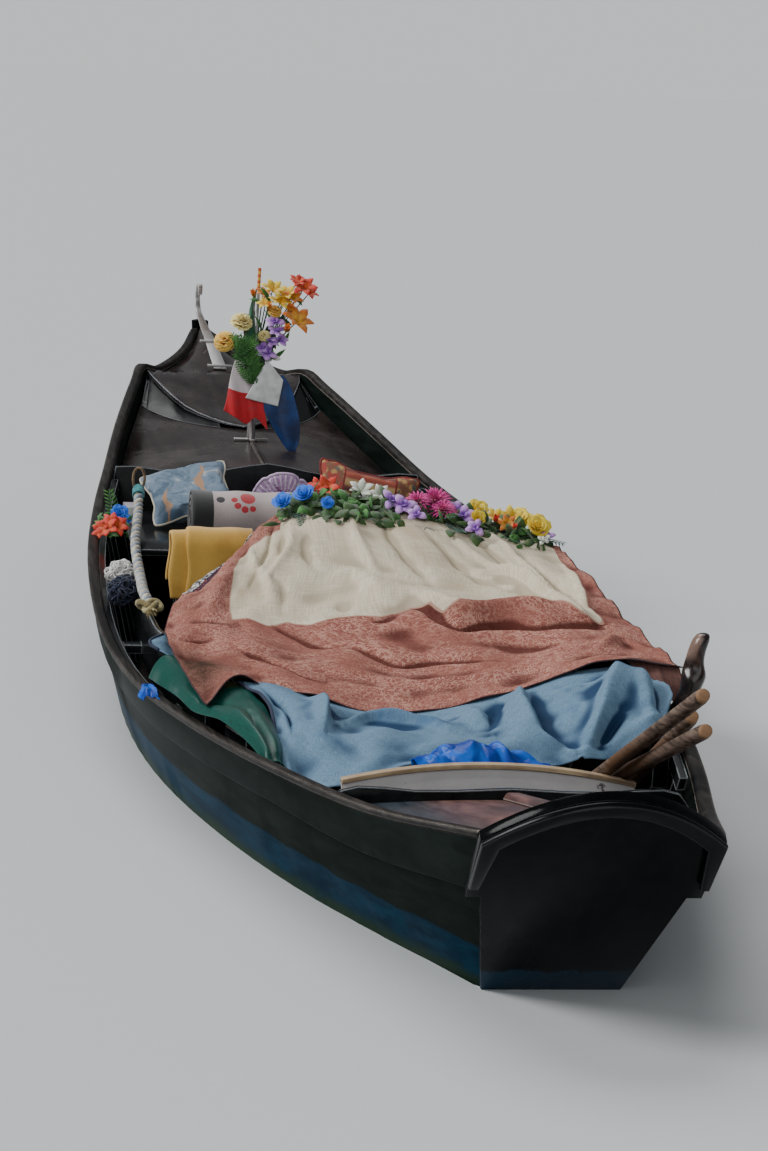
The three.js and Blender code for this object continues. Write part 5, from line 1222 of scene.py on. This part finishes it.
# ROLLED FLEECE: a grey pink throw rolled up on the bench, six turns round. One end has a black band, and it is
# printed with a few red and black paws.
ROLL_FROM, ROLL_TO, ROLL_Y, ROLL_Z = -0.345, 0.042, 0.597, 0.5525
ROLL_TURNS, ROLL_PITCH, ROLL_STEPS, ROLL_COLUMNS = 6.2, 0.0098, 330, 40
ROLL_SKIN = 0.083  # the roll's outside, where the paws are printed
fleece, tree, shader = surface("rose fleece", Roughness=0.98, Sheen_Weight=0.3, Sheen_Roughness=0.7)
place = object_place(tree)
nap = mottle(tree, place, 300.0, 6.0)
cloud = mottle(tree, place, 12.0, 5.0)
tone = between(tree, nap, (0.36, 0.29, 0.285), (0.54, 0.46, 0.45))
tone = between(tree, ramp(tree, cloud, 0.5, 0.8), tone, (0.34, 0.265, 0.26))


def paw(centre, size, turn):
    """Pads of one paw print, as points and reaches on the roll's top."""
    toes = [(math.sin(a) * 0.82, math.cos(a) * 0.82 - 0.1) for a in (-1.0, -0.35, 0.3, 0.95)]
    pads = [((0, -0.25), 0.52)] + [(toe, 0.26) for toe in toes]
    made = []
    for (a, b), reach in pads:
        x, s = a * math.cos(turn) - b * math.sin(turn), a * math.sin(turn) + b * math.cos(turn)
        angle = centre[1] - s * size / ROLL_SKIN
        y, z = ROLL_Y - ROLL_SKIN * math.sin(angle), ROLL_Z + ROLL_SKIN * math.cos(angle)
        made.append(((centre[0] + x * size, y, z), reach * size))
    return made


# Columns: place along the roll, angle from its top towards the stern, size, turn, colour
PAWS = [(-0.176, 0.78, 0.048, 2.6, (0.42, 0.006, 0.016)), (-0.262, 0.72, 0.032, 1.4, (0.006, 0.006, 0.008)),
        (-0.012, 1.02, 0.022, 0.3, (0.02, 0.012, 0.016)), (-0.10, -0.9, 0.034, 1.0, (0.42, 0.006, 0.016))]
for along, angle, size, turn, colour in PAWS:
    for centre, reach in paw((along, angle), size, turn):
        away = node(tree, "ShaderNodeVectorMath", {0: place, 1: centre}, operation="DISTANCE").outputs["Value"]
        tone = between(tree, ramp(tree, away, reach, reach - 0.0012), tone, colour)
tone = between(tree, ramp(tree, along_axis(tree, place, "X"), -0.2745, -0.2765), tone, (0.007, 0.007, 0.008))
finished(tree, shader, tone, nap, 0.5, 0.002)
spiral = []
for k in range(ROLL_STEPS):
    angle = 2 * math.pi * ROLL_TURNS * k / (ROLL_STEPS - 1)
    radius = 0.0785 - ROLL_PITCH * angle / (2 * math.pi)
    spiral.append((ROLL_Y + radius * math.sin(2.35 + angle), ROLL_Z - 0.001 + radius * 0.985 * math.cos(2.35 + angle)))
sway = random.Random(11)
ends = [(sway.uniform(-0.004, 0.001), sway.uniform(-0.001, 0.004)) for _ in range(ROLL_STEPS)]
ends = blend_points(ends[::22], np.linspace(0, 1, ROLL_STEPS))
points = np.array([
    [(x, y, z) for x in np.linspace(ROLL_FROM + 0.004 - a, ROLL_TO - 0.004 - b, ROLL_COLUMNS)]
    for (y, z), (a, b) in zip(spiral, ends)
])
dent = 0.0022 * np.sin(points[..., 0] * 46 + 1.0) * np.sin(np.arange(ROLL_STEPS) / 17)[:, None]
points = points + outward(points) * dent[..., None]
roll = cloth_piece("rolled_fleece", points, flat_map(points), [fleece] * 3, 0.0066)
placed("rose_fleece", roll, replaces="rolled_blanket")


# GARLAND: artificial leaves and flowers of stiffened cloth on wire stems, laid along the top of the seat's
# back. It has blue roses, lilies, orchids, asters and yellow roses among dark leaves.
def pressed_leaf(widths, lifts, cup):
    """One leaf or petal a unit long, cut from cloth and pressed: half widths and lifts from root to tip."""
    bpy.ops.object.select_all(action="DESELECT")
    rows = len(widths) - 1
    bpy.ops.mesh.primitive_grid_add(x_subdivisions=2, y_subdivisions=rows, size=1, location=(0, 0.5, 0))
    leaf = bpy.context.object
    bpy.ops.object.transform_apply(location=True, rotation=False, scale=False)
    bpy.ops.object.mode_set(mode="EDIT")
    for row, (width, lift) in enumerate(zip(widths, lifts)):
        picked(leaf, lambda p: abs(p.y - row / rows) < 0.01 and abs(p.z) < 1e-6)
        bpy.ops.transform.resize(value=(2 * width, 1, 1), center_override=(0, row / rows, 0))
        bpy.ops.transform.translate(value=(0, 0, lift + 1e-4))
    picked(leaf, lambda p: abs(p.x) < 1e-5 and 0.05 < p.y < 0.95)
    bpy.ops.transform.translate(value=(0, 0, -cup))
    bpy.ops.object.mode_set(mode="OBJECT")
    applied(leaf, "cloth thickness", "SOLIDIFY", thickness=0.012, offset=0)
    shape = [Vector(v.co) for v in leaf.data.vertices], [tuple(f.vertices) for f in leaf.data.polygons]
    bpy.data.objects.remove(leaf)
    return shape


def bloom(petal, rings):
    """A flower a unit in radius. Ring columns: count, length, opening from the axis in degrees, turn, width."""
    parts = []
    for count, length, opening, turn, width in rings:
        for k in range(count):
            spin = Matrix.Rotation(turn + 2 * math.pi * k / count, 4, "Z")
            lean = Matrix.Rotation(math.radians(90 - opening - 6 * math.sin(5 * k + turn)), 4, "X")
            size = Matrix.Diagonal((width, length, length, 1))
            parts.append(([spin @ lean @ size @ p for p in petal[0]], petal[1]))
    return merged(parts)


def set_out(name, finish, slot, spots):
    """Copies of shapes at spots, joined. Spot columns: shape, place, size, facing, spin."""
    parts, reaches = [], []
    for shape, place, size, facing, spin in spots:
        stand = Vector(facing).normalized().to_track_quat("Z", "Y").to_matrix().to_4x4()
        whole = Matrix.Translation(place) @ stand @ Matrix.Rotation(spin, 4, "Z") @ Matrix.Scale(size, 4)
        parts.append(([whole @ p for p in shape[0]], shape[1]))
        reaches += [min(p.length, 1.0) for p in shape[0]]
    piece = mesh_piece(name, *merged(parts), finish)
    piece.data.attributes.new("reach", "FLOAT", "POINT").data.foreach_set("value", reaches)
    placed(slot, piece)
    return piece


def dyed_cloth(name, root, tip, spot=None):
    """Petal or leaf cloth, dyed from its root to its tip, with uneven dye and fine threads."""
    finish, tree, shader = surface(name, Roughness=0.62, Sheen_Weight=0.2)
    tone = between(tree, ramp(tree, point_mask(tree, "reach"), 0.25, 0.85), root, tip)
    blot = mottle(tree, object_place(tree), 90.0, 5.0)
    tone = between(tree, ramp(tree, blot, 0.45, 0.75), tone, spot or tuple(c * 0.55 for c in tip))
    finished(tree, shader, tone, blot, 0.4, 0.0015)
    return finish


LILY_PETAL = pressed_leaf((0.06, 0.19, 0.27, 0.21, 0.03), (0, 0.05, 0.08, 0.03, -0.14), 0.05)
ROSE_PETAL = pressed_leaf((0.16, 0.40, 0.52, 0.46, 0.20), (0, 0.10, 0.16, 0.10, -0.02), 0.10)
FRILL_PETAL = pressed_leaf((0.05, 0.10, 0.18, 0.30, 0.38), (0, 0.03, -0.03, 0.08, -0.08), 0.07)
ASTER_PETAL = pressed_leaf((0.03, 0.06, 0.075, 0.06, 0.015), (0, 0.04, 0.06, 0.04, -0.04), 0.015)
ORCHID_PETAL = pressed_leaf((0.06, 0.26, 0.34, 0.28, 0.10), (0, 0.06, 0.06, 0.0, -0.10), -0.04)
BROAD_LEAF = pressed_leaf((0.03, 0.26, 0.36, 0.26, 0.02), (0, 0.06, 0.06, -0.02, -0.16), 0.05)
NARROW_LEAF = pressed_leaf((0.02, 0.10, 0.13, 0.08, 0.01), (0, 0.04, 0.05, 0.0, -0.10), 0.02)
LILY = bloom(LILY_PETAL, [(3, 1.0, 66, 0, 1), (3, 0.95, 58, 1.05, 1)])
BUD = bloom(LILY_PETAL, [(4, 1.0, 10, 0, 1), (3, 0.9, 5, 0.5, 1)])
ROSE = bloom(ROSE_PETAL, [(5, 1.0, 46, 0, 1), (5, 0.92, 30, 0.6, 0.95), (4, 0.8, 16, 0.2, 0.8), (3, 0.7, 7, 0.9, 0.6)])
CARNATION = bloom(FRILL_PETAL, [(13, 1.0, 88, 0, 0.8), (13, 0.97, 68, 0.4, 0.8), (12, 0.92, 50, 0.1, 0.75),
                                (10, 0.88, 33, 0.5, 0.7), (7, 0.84, 16, 0.2, 0.6)])
ASTER = bloom(ASTER_PETAL, [(18, 1.0, 84, 0, 1), (16, 0.92, 66, 0.2, 1), (13, 0.8, 46, 0.1, 1), (9, 0.66, 26, 0.3, 1),
                            (5, 0.5, 8, 0, 1)])
ORCHID = bloom(ORCHID_PETAL, [(3, 1.0, 78, 0.2, 1), (2, 0.95, 70, 1.3, 1.1), (3, 0.5, 34, 0.9, 0.7)])
SPRIG_PARTS = []
for k in range(7):
    for side in (-1, 1):
        turn_out = Matrix.Translation((0, 0.14 * k, 0)) @ Matrix.Rotation(side * 0.9, 4, "Z")
        leaf_set = turn_out @ Matrix.Scale(0.34 - 0.015 * k, 4)
        SPRIG_PARTS.append(([leaf_set @ p for p in NARROW_LEAF[0]], NARROW_LEAF[1]))
SPRIG = merged(SPRIG_PARTS + [strand([(0, 0, 0), (0, 0.5, 0.01), (0, 1.0, 0)], 0.012, 5, 0.6)])

PETAL_CLOTH = {
    "blue": dyed_cloth("blue petals", (0.004, 0.06, 0.40), (0.01, 0.16, 0.78)),
    "scarlet": dyed_cloth("scarlet petals", (0.70, 0.12, 0.02), (0.72, 0.030, 0.012)),
    "white": dyed_cloth("white petals", (0.50, 0.56, 0.44), (0.72, 0.72, 0.66), (0.50, 0.50, 0.46)),
    "lilac": dyed_cloth("lilac petals", (0.20, 0.05, 0.42), (0.56, 0.32, 0.70), (0.38, 0.12, 0.55)),
    "magenta": dyed_cloth("magenta petals", (0.45, 0.01, 0.12), (0.72, 0.022, 0.30)),
    "yellow": dyed_cloth("yellow petals", (0.80, 0.42, 0.01), (0.84, 0.62, 0.03), (0.74, 0.60, 0.12)),
    "orange": dyed_cloth("orange petals", (0.78, 0.42, 0.04), (0.76, 0.20, 0.02)),
    "cream": dyed_cloth("cream petals", (0.84, 0.50, 0.06), (0.88, 0.76, 0.30), (0.90, 0.82, 0.50)),
    "apricot": dyed_cloth("apricot petals", (0.86, 0.20, 0.01), (0.88, 0.60, 0.12), (0.88, 0.36, 0.03)),
}
leaf_green = dyed_cloth("leaf green", (0.012, 0.050, 0.010), (0.030, 0.105, 0.016), (0.075, 0.090, 0.014))
bright_green = dyed_cloth("bright leaf green", (0.025, 0.13, 0.018), (0.060, 0.24, 0.030), (0.025, 0.10, 0.016))
blue_green = dyed_cloth("blue green stems", (0.012, 0.07, 0.045), (0.02, 0.12, 0.075), (0.012, 0.06, 0.03))


def scattered(reach):
    """A small random step to each side."""
    return Vector([chance.uniform(-reach, reach) for _ in range(3)])


def any_turn():
    """A random spin, in radians."""
    return chance.uniform(0, 6.28)


def on_cover(u, v, lift):
    """A place on the cover, by its net, and the cover's normal there."""
    i, j = round(v * (plain.shape[0] - 1)), round(u * (plain.shape[1] - 1))
    normal = Vector(outward(plain)[i, j])
    return Vector(plain[i, j]) + normal * lift, normal


GARLAND_FLOWERS = [  # colour, shape, across the cover, up the cover, lift, radius
    ("blue", ROSE, 0.355, 0.690, 0.012, 0.034), ("blue", ROSE, 0.409, 0.680, 0.014, 0.036),
    ("blue", ROSE, 0.452, 0.640, 0.006, 0.022), ("scarlet", LILY, 0.447, 0.790, 0.014, 0.040),
    ("scarlet", LILY, 0.425, 0.800, 0.02, 0.030), ("white", LILY, 0.531, 0.830, 0.02, 0.036),
    ("white", LILY, 0.573, 0.800, 0.014, 0.030), ("white", ORCHID, 0.560, 0.86, 0.02, 0.022),
    ("lilac", ORCHID, 0.591, 0.700, 0.014, 0.034), ("lilac", ORCHID, 0.618, 0.665, 0.012, 0.034),
    ("lilac", ORCHID, 0.636, 0.630, 0.012, 0.026), ("magenta", ASTER, 0.650, 0.720, 0.016, 0.036),
    ("magenta", ASTER, 0.690, 0.760, 0.020, 0.046), ("magenta", ASTER, 0.705, 0.680, 0.012, 0.036),
    ("lilac", ORCHID, 0.735, 0.720, 0.014, 0.030), ("lilac", ORCHID, 0.745, 0.672, 0.010, 0.032),
    ("lilac", ORCHID, 0.752, 0.622, 0.010, 0.026), ("yellow", ROSE, 0.786, 0.830, 0.014, 0.036),
    ("yellow", ROSE, 0.776, 0.680, 0.010, 0.026), ("yellow", LILY, 0.822, 0.760, 0.014, 0.030),
    ("yellow", LILY, 0.858, 0.780, 0.016, 0.042), ("yellow", ROSE, 0.890, 0.860, 0.018, 0.046),
    ("yellow", ROSE, 0.925, 0.740, 0.012, 0.042), ("orange", LILY, 0.845, 0.700, 0.010, 0.030),
    ("scarlet", BUD, 0.815, 0.700, 0.012, 0.026), ("scarlet", BUD, 0.86, 0.66, 0.010, 0.022),
    ("white", ORCHID, 0.925, 0.640, 0.006, 0.016), ("white", ORCHID, 0.938, 0.660, 0.006, 0.015),
    ("lilac", ORCHID, 0.952, 0.700, 0.008, 0.020), ("scarlet", BUD, 0.880, 0.98, 0.030, 0.024),
]
GARLAND_LEAVES, GARLAND_SPRIGS, HANGING_LEAVES = 360, 34, 70
chance = random.Random(21)
FACING_STERN = Vector((-0.15, -0.85, 0.50))
for colour in PETAL_CLOTH:
    spots = []
    for tint, shape, u, v, lift, radius in GARLAND_FLOWERS:
        if tint == colour:
            place, normal = on_cover(u, v, lift + 0.018)
            facing = FACING_STERN + normal * 0.4 + scattered(0.3)
            spots.append((shape, place, 1.15 * radius, facing, any_turn()))
    if spots:
        set_out(f"garland_{colour}_flowers", PETAL_CLOTH[colour], "petal_fabric", spots)
DARK, BRIGHT, SPRIGS = "garland_dark_leaves", "garland_bright_leaves", "garland_sprigs"
leaf_spots = {DARK: [], BRIGHT: [], SPRIGS: []}
for k in range(GARLAND_LEAVES):
    u = chance.uniform(0.345, 0.955)
    band = 0.69 + 0.05 * max(0, u - 0.75) / 0.2 - 0.02 * math.sin(9 * u)
    v = min(0.93, max(band - 0.075, chance.gauss(band, 0.04)))
    place, normal = on_cover(u, v, chance.uniform(0.003, 0.022))
    facing = normal * 0.6 + FACING_STERN * 0.6 + scattered(0.8)
    name = BRIGHT if chance.random() < (0.45 if u < 0.52 else 0.16) else DARK
    shape, least, most = (BROAD_LEAF, 0.026, 0.056) if chance.random() < 0.7 else (NARROW_LEAF, 0.04, 0.07)
    leaf_spots[name].append((shape, place, chance.uniform(least, most), facing, any_turn()))
for k in range(GARLAND_SPRIGS):
    u = chance.uniform(0.34, 0.955)
    v = chance.choice((chance.uniform(0.62, 0.66), chance.uniform(0.74, 0.88)))
    place, normal = on_cover(u, v, 0.008)
    facing = normal + scattered(0.5)
    leaf_spots[SPRIGS].append((SPRIG, place, chance.uniform(0.05, 0.09), facing, any_turn()))
for k in range(HANGING_LEAVES):  # they hang lowest over the middle of the linen
    u = chance.gauss(0.50, 0.045)
    place, normal = on_cover(u, chance.uniform(0.605, 0.67), chance.uniform(0.004, 0.018))
    facing = normal * 0.6 + FACING_STERN * 0.6 + scattered(0.7)
    name = BRIGHT if chance.random() < 0.35 else DARK
    leaf_spots[name].append((BROAD_LEAF, place, chance.uniform(0.026, 0.05), facing, any_turn()))
leaf_finish = {DARK: leaf_green, BRIGHT: bright_green, SPRIGS: blue_green}
garland_pieces = [set_out(name, leaf_finish[name], "leaf_fabric", spots) for name, spots in leaf_spots.items()]
vine = [on_cover(u, 0.70 + 0.02 * math.sin(30 * u), 0.008)[0] for u in np.linspace(0.35, 0.96, 60)]
placed("leaf_fabric", mesh_piece("garland_stem", *strand(vine, 0.004, 7, 0.5), blue_green))
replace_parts(garland_pieces[0], "garland")

# BOUQUET: artificial carnations, lilies and orchids on wire stems, pushed with fern into the staff holder. It
# is made of the garland's petals and leaves.
BOUQUET_FLOWERS = [  # colour, shape, x, y, z, radius
    ("apricot", CARNATION, -0.115, 1.687, 0.990, 0.037), ("cream", CARNATION, -0.062, 1.692, 1.055, 0.038),
    ("yellow", LILY, 0.039, 1.697, 1.166, 0.048), ("yellow", LILY, 0.088, 1.703, 1.150, 0.050),
    ("yellow", LILY, 0.066, 1.690, 1.125, 0.046), ("scarlet", LILY, 0.146, 1.702, 1.176, 0.052),
    ("scarlet", LILY, 0.164, 1.712, 1.158, 0.040), ("scarlet", LILY, 0.122, 1.705, 1.196, 0.036),
    ("orange", LILY, 0.124, 1.690, 1.064, 0.064), ("orange", BUD, 0.026, 1.695, 1.100, 0.032),
    ("orange", LILY, 0.012, 1.730, 1.150, 0.034), ("orange", BUD, -0.014, 1.760, 1.140, 0.036),
    ("orange", LILY, 0.110, 1.700, 1.140, 0.040), ("yellow", LILY, 0.018, 1.705, 1.118, 0.034),
    ("lilac", ORCHID, 0.028, 1.672, 0.958, 0.040), ("lilac", ORCHID, 0.010, 1.680, 0.975, 0.028),
    ("lilac", ORCHID, 0.060, 1.680, 1.030, 0.034), ("lilac", ORCHID, 0.052, 1.682, 1.062, 0.036),
    ("lilac", ORCHID, 0.070, 1.684, 1.000, 0.032), ("lilac", ORCHID, 0.040, 1.682, 0.998, 0.030),
    ("cream", CARNATION, 0.018, 1.692, 1.013, 0.022), ("white", ORCHID, 0.046, 1.676, 0.940, 0.030),
    ("apricot", CARNATION, 0.050, 1.700, 1.096, 0.024), ("cream", BUD, -0.048, 1.680, 0.962, 0.026),
    ("orange", BUD, 0.098, 1.690, 1.098, 0.040), ("orange", BUD, 0.092, 1.688, 1.030, 0.044),
]
STEMS_FROM, STEMS_SPREAD = Vector((0, 1.757, 0.79)), Vector((0, 1.755, 0.80))
LEAVES_FROM, FERN_SPRIGS, BOUQUET_LEAVES = Vector((0, 1.757, 0.80)), 46, 48
for colour in PETAL_CLOTH:
    spots = []
    for tint, shape, x, y, z, radius in BOUQUET_FLOWERS:
        if tint == colour:
            away = (Vector((x, y, z)) - STEMS_SPREAD).normalized()
            facing = away * 0.5 + FACING_STERN * 0.7 + scattered(0.25)
            spots.append((shape, Vector((x, y, z)), radius, facing, any_turn()))
    if spots:
        set_out(f"bouquet_{colour}_flowers", PETAL_CLOTH[colour], "petal_fabric", spots)
parts = []
for _, _, x, y, z, radius in BOUQUET_FLOWERS:
    head = Vector((x, y, z))
    middle = STEMS_FROM.lerp(head, 0.5) + Vector((-0.15 * x, 0.012, 0.03))
    parts.append(strand(blend_points([STEMS_FROM, middle, head], np.linspace(0, 1, 9)), 0.0022, 6, 0.8))
placed("leaf_fabric", mesh_piece("bouquet_stems", *merged(parts), blue_green), replaces="bouquet")
spots = []
for k in range(FERN_SPRIGS):
    along = chance.uniform(0.0, 1.0)
    x, z = -0.020 - 0.040 * along + chance.uniform(-0.013, 0.013), 0.850 + 0.125 * along
    facing = Vector((chance.uniform(-0.6, 0.6), -0.8, chance.uniform(-0.3, 0.5)))
    place = Vector((x, 1.657 + chance.uniform(-0.012, 0.006), z))
    spots.append((SPRIG, place, chance.uniform(0.045, 0.07), facing, chance.uniform(-0.9, 0.9)))
set_out("bouquet_fern", bright_green, "leaf_fabric", spots)
spots = []
for k in range(BOUQUET_LEAVES):
    _, _, x, y, z, radius = BOUQUET_FLOWERS[k % len(BOUQUET_FLOWERS)]
    place = LEAVES_FROM.lerp(Vector((x, y, z)), chance.uniform(0.55, 0.95))
    facing = Vector((chance.uniform(-0.7, 0.7), -0.7, chance.uniform(-0.2, 0.8)))
    spots.append((NARROW_LEAF, place, chance.uniform(0.04, 0.075), facing, chance.uniform(-1.2, 1.2)))
set_out("bouquet_leaves", bright_green, "leaf_fabric", spots)

# FLOWERS BY THE PORT RAIL: a small bunch of scarlet lilies, blue roses and a few leaves, of the garland's
# cloth, laid on the side board.
PORT_LILIES = [  # place, radius, turned from the stern, spin
    ((-0.606, 0.425, 0.525), 0.044, (-0.2, 0, 0.3), 0.2), ((-0.578, 0.435, 0.528), 0.042, (0.3, 0, 0.2), 1.2),
    ((-0.622, 0.440, 0.515), 0.034, (-0.5, 0, 0), 2.2), ((-0.590, 0.470, 0.538), 0.036, (0, 0, 0.6), 0.8),
]
spots = [(LILY, Vector(p), radius, FACING_STERN + Vector(f), spin) for p, radius, f, spin in PORT_LILIES]
scarlet = set_out("port_scarlet_flowers", PETAL_CLOTH["scarlet"], "petal_fabric", spots)
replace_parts(scarlet, "port_flowers")
spots = [(ROSE, Vector((-0.562, 0.520, 0.552)), 0.038, FACING_STERN, 0.4),
         (ROSE, Vector((-0.545, 0.500, 0.540)), 0.026, FACING_STERN, 1.4)]
set_out("port_blue_flowers", PETAL_CLOTH["blue"], "petal_fabric", spots)
spots = []
for k in range(26):
    place = Vector((chance.uniform(-0.625, -0.54), chance.uniform(0.42, 0.55), chance.uniform(0.49, 0.56)))
    facing = Vector((chance.uniform(-0.8, 0.8), -0.6, chance.uniform(0.1, 0.9)))
    spots.append((chance.choice((BROAD_LEAF, NARROW_LEAF)), place, chance.uniform(0.025, 0.045), facing, any_turn()))
spots.append((SPRIG, Vector((-0.575, 0.56, 0.545)), 0.085, (0, -0.9, 0.2), 0.2))
set_out("port_leaves", bright_green, "leaf_fabric", spots)

# POMPOMS: white and navy wool wound into loose loops and tied in the middle. Both rest on the port side
# board beside the cord.
white_wool = yarn_finish("white wool", (0.72, 0.71, 0.69), (0.90, 0.89, 0.88))
navy_wool = yarn_finish("navy wool", (0.006, 0.012, 0.035), (0.020, 0.034, 0.085))
turn = [(math.cos(a) * 0.5, 0.0, 0.5 + math.sin(a) * 0.62) for a in np.linspace(-1.6, 4.6, 11)]
LOOP = strand(turn, 0.085, 6, 0.7)
GOLDEN_ANGLE = 2.39996  # spreads the loops evenly over the ball
for name, node_name, finish, slot, centre, count in (
    ("white_pompom", "pompom_white", white_wool, "white_yarn", (-0.6033, -0.018, 0.456), 95),
    ("navy_pompom", "pompom_navy", navy_wool, "navy_yarn", (-0.6164, -0.213, 0.442), 130),
):
    spots = []
    for k in range(count):
        high = 1 - 2 * (k + 0.5) / count
        angle = k * GOLDEN_ANGLE
        level = math.sqrt(1 - high * high)
        away = Vector((level * math.cos(angle), level * math.sin(angle), high)) + scattered(0.25)
        spots.append((LOOP, Vector(centre) + away * 0.012, chance.uniform(0.022, 0.033), away, any_turn()))
    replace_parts(set_out(name, finish, slot, spots), node_name)

# FLAGS AND NOTE: two small pennants of thin printed nylon and a blank card, hung on the staff among the
# stems. The staff is a pale grey stick with bands of red and yellow paint round its tip.
nylon_print, tree, shader = surface("green white and red nylon", Roughness=0.5, Sheen_Weight=0.2)
height = along_axis(tree, flat_place(tree), "Y")
tone = between(tree, ramp(tree, height, 0.125, 0.127), (0.58, 0.006, 0.014), (0.74, 0.66, 0.67))
tone = between(tree, ramp(tree, height, 0.245, 0.247), tone, (0.002, 0.085, 0.030))
# Painted shade: random patches darken the print towards a deep red, standing in for the shade in the nylon's folds.
painted_fold_shade = maths(tree, "MULTIPLY", ramp(tree, mottle(tree, flat_place(tree), 14.0), 0.5, 0.7), 0.35)
slub_finish(tree, shader, flat_place(tree), between(tree, painted_fold_shade, tone, (0.30, 0.06, 0.08)), 4000.0, 50.0, 0.2, 0.0005)
TRICOLOUR_NET = [  # x, y, z in millimetres, bottom first
    [(-112, 1668, 760), (-72, 1662, 738), (-31, 1670, 717), (-6, 1664, 738), (40, 1668, 697)],
    [(-104, 1668, 800), (-72, 1662, 790), (-34, 1672, 784), (-4, 1664, 786), (26, 1668, 762)],
    [(-95, 1670, 862), (-70, 1664, 852), (-40, 1674, 845), (-10, 1668, 850), (10, 1670, 838)],
    [(-83, 1672, 925), (-63, 1666, 915), (-43, 1676, 909), (-24, 1670, 912), (-8, 1672, 906)],
    [(-58, 1682, 1000), (-47, 1676, 997), (-33, 1684, 994), (-20, 1690, 998), (-8, 1740, 995)],
    [(-38, 1700, 1075), (-30, 1695, 1074), (-22, 1704, 1074), (-12, 1730, 1075), (-2, 1778, 1076)],
    [(-14, 1775, 1160), (-11, 1775, 1161), (-8, 1780, 1162), (-5, 1784, 1163), (-2, 1787, 1164)],
]


def pennant(name, points, ripple, finish, slot, stands_for):
    """A pennant of thin nylon with ripples down it. Ripple: height, waves across, waves up."""
    rise, across, up = ripple
    points = points + outward(points) * (rise * np.sin(points[..., 0] * across + points[..., 2] * up))[..., None]
    piece = cloth_piece(name, points, flat_map(points), [finish] * 3, 0.0012)
    placed(slot, piece, replaces=stands_for)


pennant("tricolour_pennant", net_surface(TRICOLOUR_NET, 90, 40), (0.005, 120, 22), nylon_print, "flag_fabric",
        "pennant_tricolour")

blue_nylon, tree, shader = surface("blue nylon", Roughness=0.45, Sheen_Weight=0.2)
# Painted shade: random patches move the blue between a dark and a lighter shade, standing in for the shade in its
# folds.
painted_fold_shade = ramp(tree, mottle(tree, flat_place(tree), 16.0, 4.0), 0.35, 0.7)
tone = between(tree, painted_fold_shade, (0.003, 0.018, 0.085), (0.008, 0.060, 0.24))
slub_finish(tree, shader, flat_place(tree), tone, 4000.0, 50.0, 0.2, 0.0005)
BLUE_NET = [  # x, y, z in millimetres, bottom first
    [(120, 1660, 624), (126, 1662, 621), (132, 1660, 621), (138, 1662, 628)],
    [(94, 1662, 650), (111, 1658, 645), (132, 1664, 646), (148, 1662, 664)],
    [(52, 1662, 717), (81, 1656, 713), (116, 1666, 712), (148, 1662, 722)],
    [(20, 1667, 783), (50, 1661, 781), (96, 1669, 779), (134, 1666, 786)],
    [(24, 1674, 845), (48, 1669, 844), (82, 1675, 842), (112, 1673, 848)],
    [(48, 1678, 884), (58, 1677, 885), (72, 1679, 885), (88, 1678, 884)],
]
pennant("blue_pennant", net_surface(BLUE_NET, 60, 34), (0.004, 95, 14), blue_nylon, "blue_flag", "pennant_blue")

card_paper, tree, shader = surface("blank card", Roughness=0.6)
mark = ramp(tree, mottle(tree, object_place(tree), 30.0, 6.0), 0.4, 0.75)
tree.links.new(between(tree, mark, (0.80, 0.82, 0.81), (0.58, 0.60, 0.59)), shader.inputs["Base Color"])
CARD_NET = [
    [(-42, 1658, 806), (-5, 1655, 797), (33, 1656, 789), (70, 1659, 781)],
    [(-20, 1656, 848), (8, 1652, 838), (40, 1653, 826), (76, 1658, 818)],
    [(4, 1657, 895), (26, 1653, 888), (50, 1654, 872), (82, 1658, 856)],
    [(26, 1660, 932), (36, 1657, 926), (50, 1657, 910), (84, 1661, 870)],
]
points = net_surface(CARD_NET, 30, 30)
placed("paper", cloth_piece("blank_card", points, flat_map(points), [card_paper] * 3, 0.0010), replaces="note_card")
staff_paint, tree, shader = surface("staff paint", Roughness=0.4)
height = along_axis(tree, object_place(tree), "Z")
bands = ramp(tree, maths(tree, "SINE", maths(tree, "MULTIPLY", height, 300.0)), -0.2, 0.2)
tip = between(tree, bands, (0.60, 0.10, 0.03), (0.72, 0.44, 0.06))
tree.links.new(between(tree, ramp(tree, height, 1.165, 1.17), (0.60, 0.61, 0.60), tip), shader.inputs["Base Color"])
fair_copy("flag_staff", "painted_staff", "pale_wood", staff_paint, 0.0, 60)

# BOX: a small box of folded card, set down loose on the bench. It is white in front, and its lid is printed
# with stripes.
box_print, tree, shader = surface("white box with a striped lid", Roughness=0.5)
place = object_place(tree)
turns = maths(tree, "FRACT", maths(tree, "MULTIPLY", along_axis(tree, place, "Y"), 52.0))
lid = between(tree, ramp(tree, turns, 0.30, 0.32), (0.03, 0.48, 0.50), (0.62, 0.10, 0.25))
lid = between(tree, ramp(tree, turns, 0.62, 0.64), lid, (0.55, 0.56, 0.55))
lid = between(tree, ramp(tree, turns, 0.88, 0.90), lid, (0.01, 0.01, 0.012))
top = ramp(tree, along_axis(tree, place, "Z"), 0.5155, 0.5165)
tree.links.new(between(tree, top, (0.66, 0.67, 0.66), lid), shader.inputs["Base Color"])
fair_copy("white_box", "small_card_box", "paper", box_print, 0.0015)
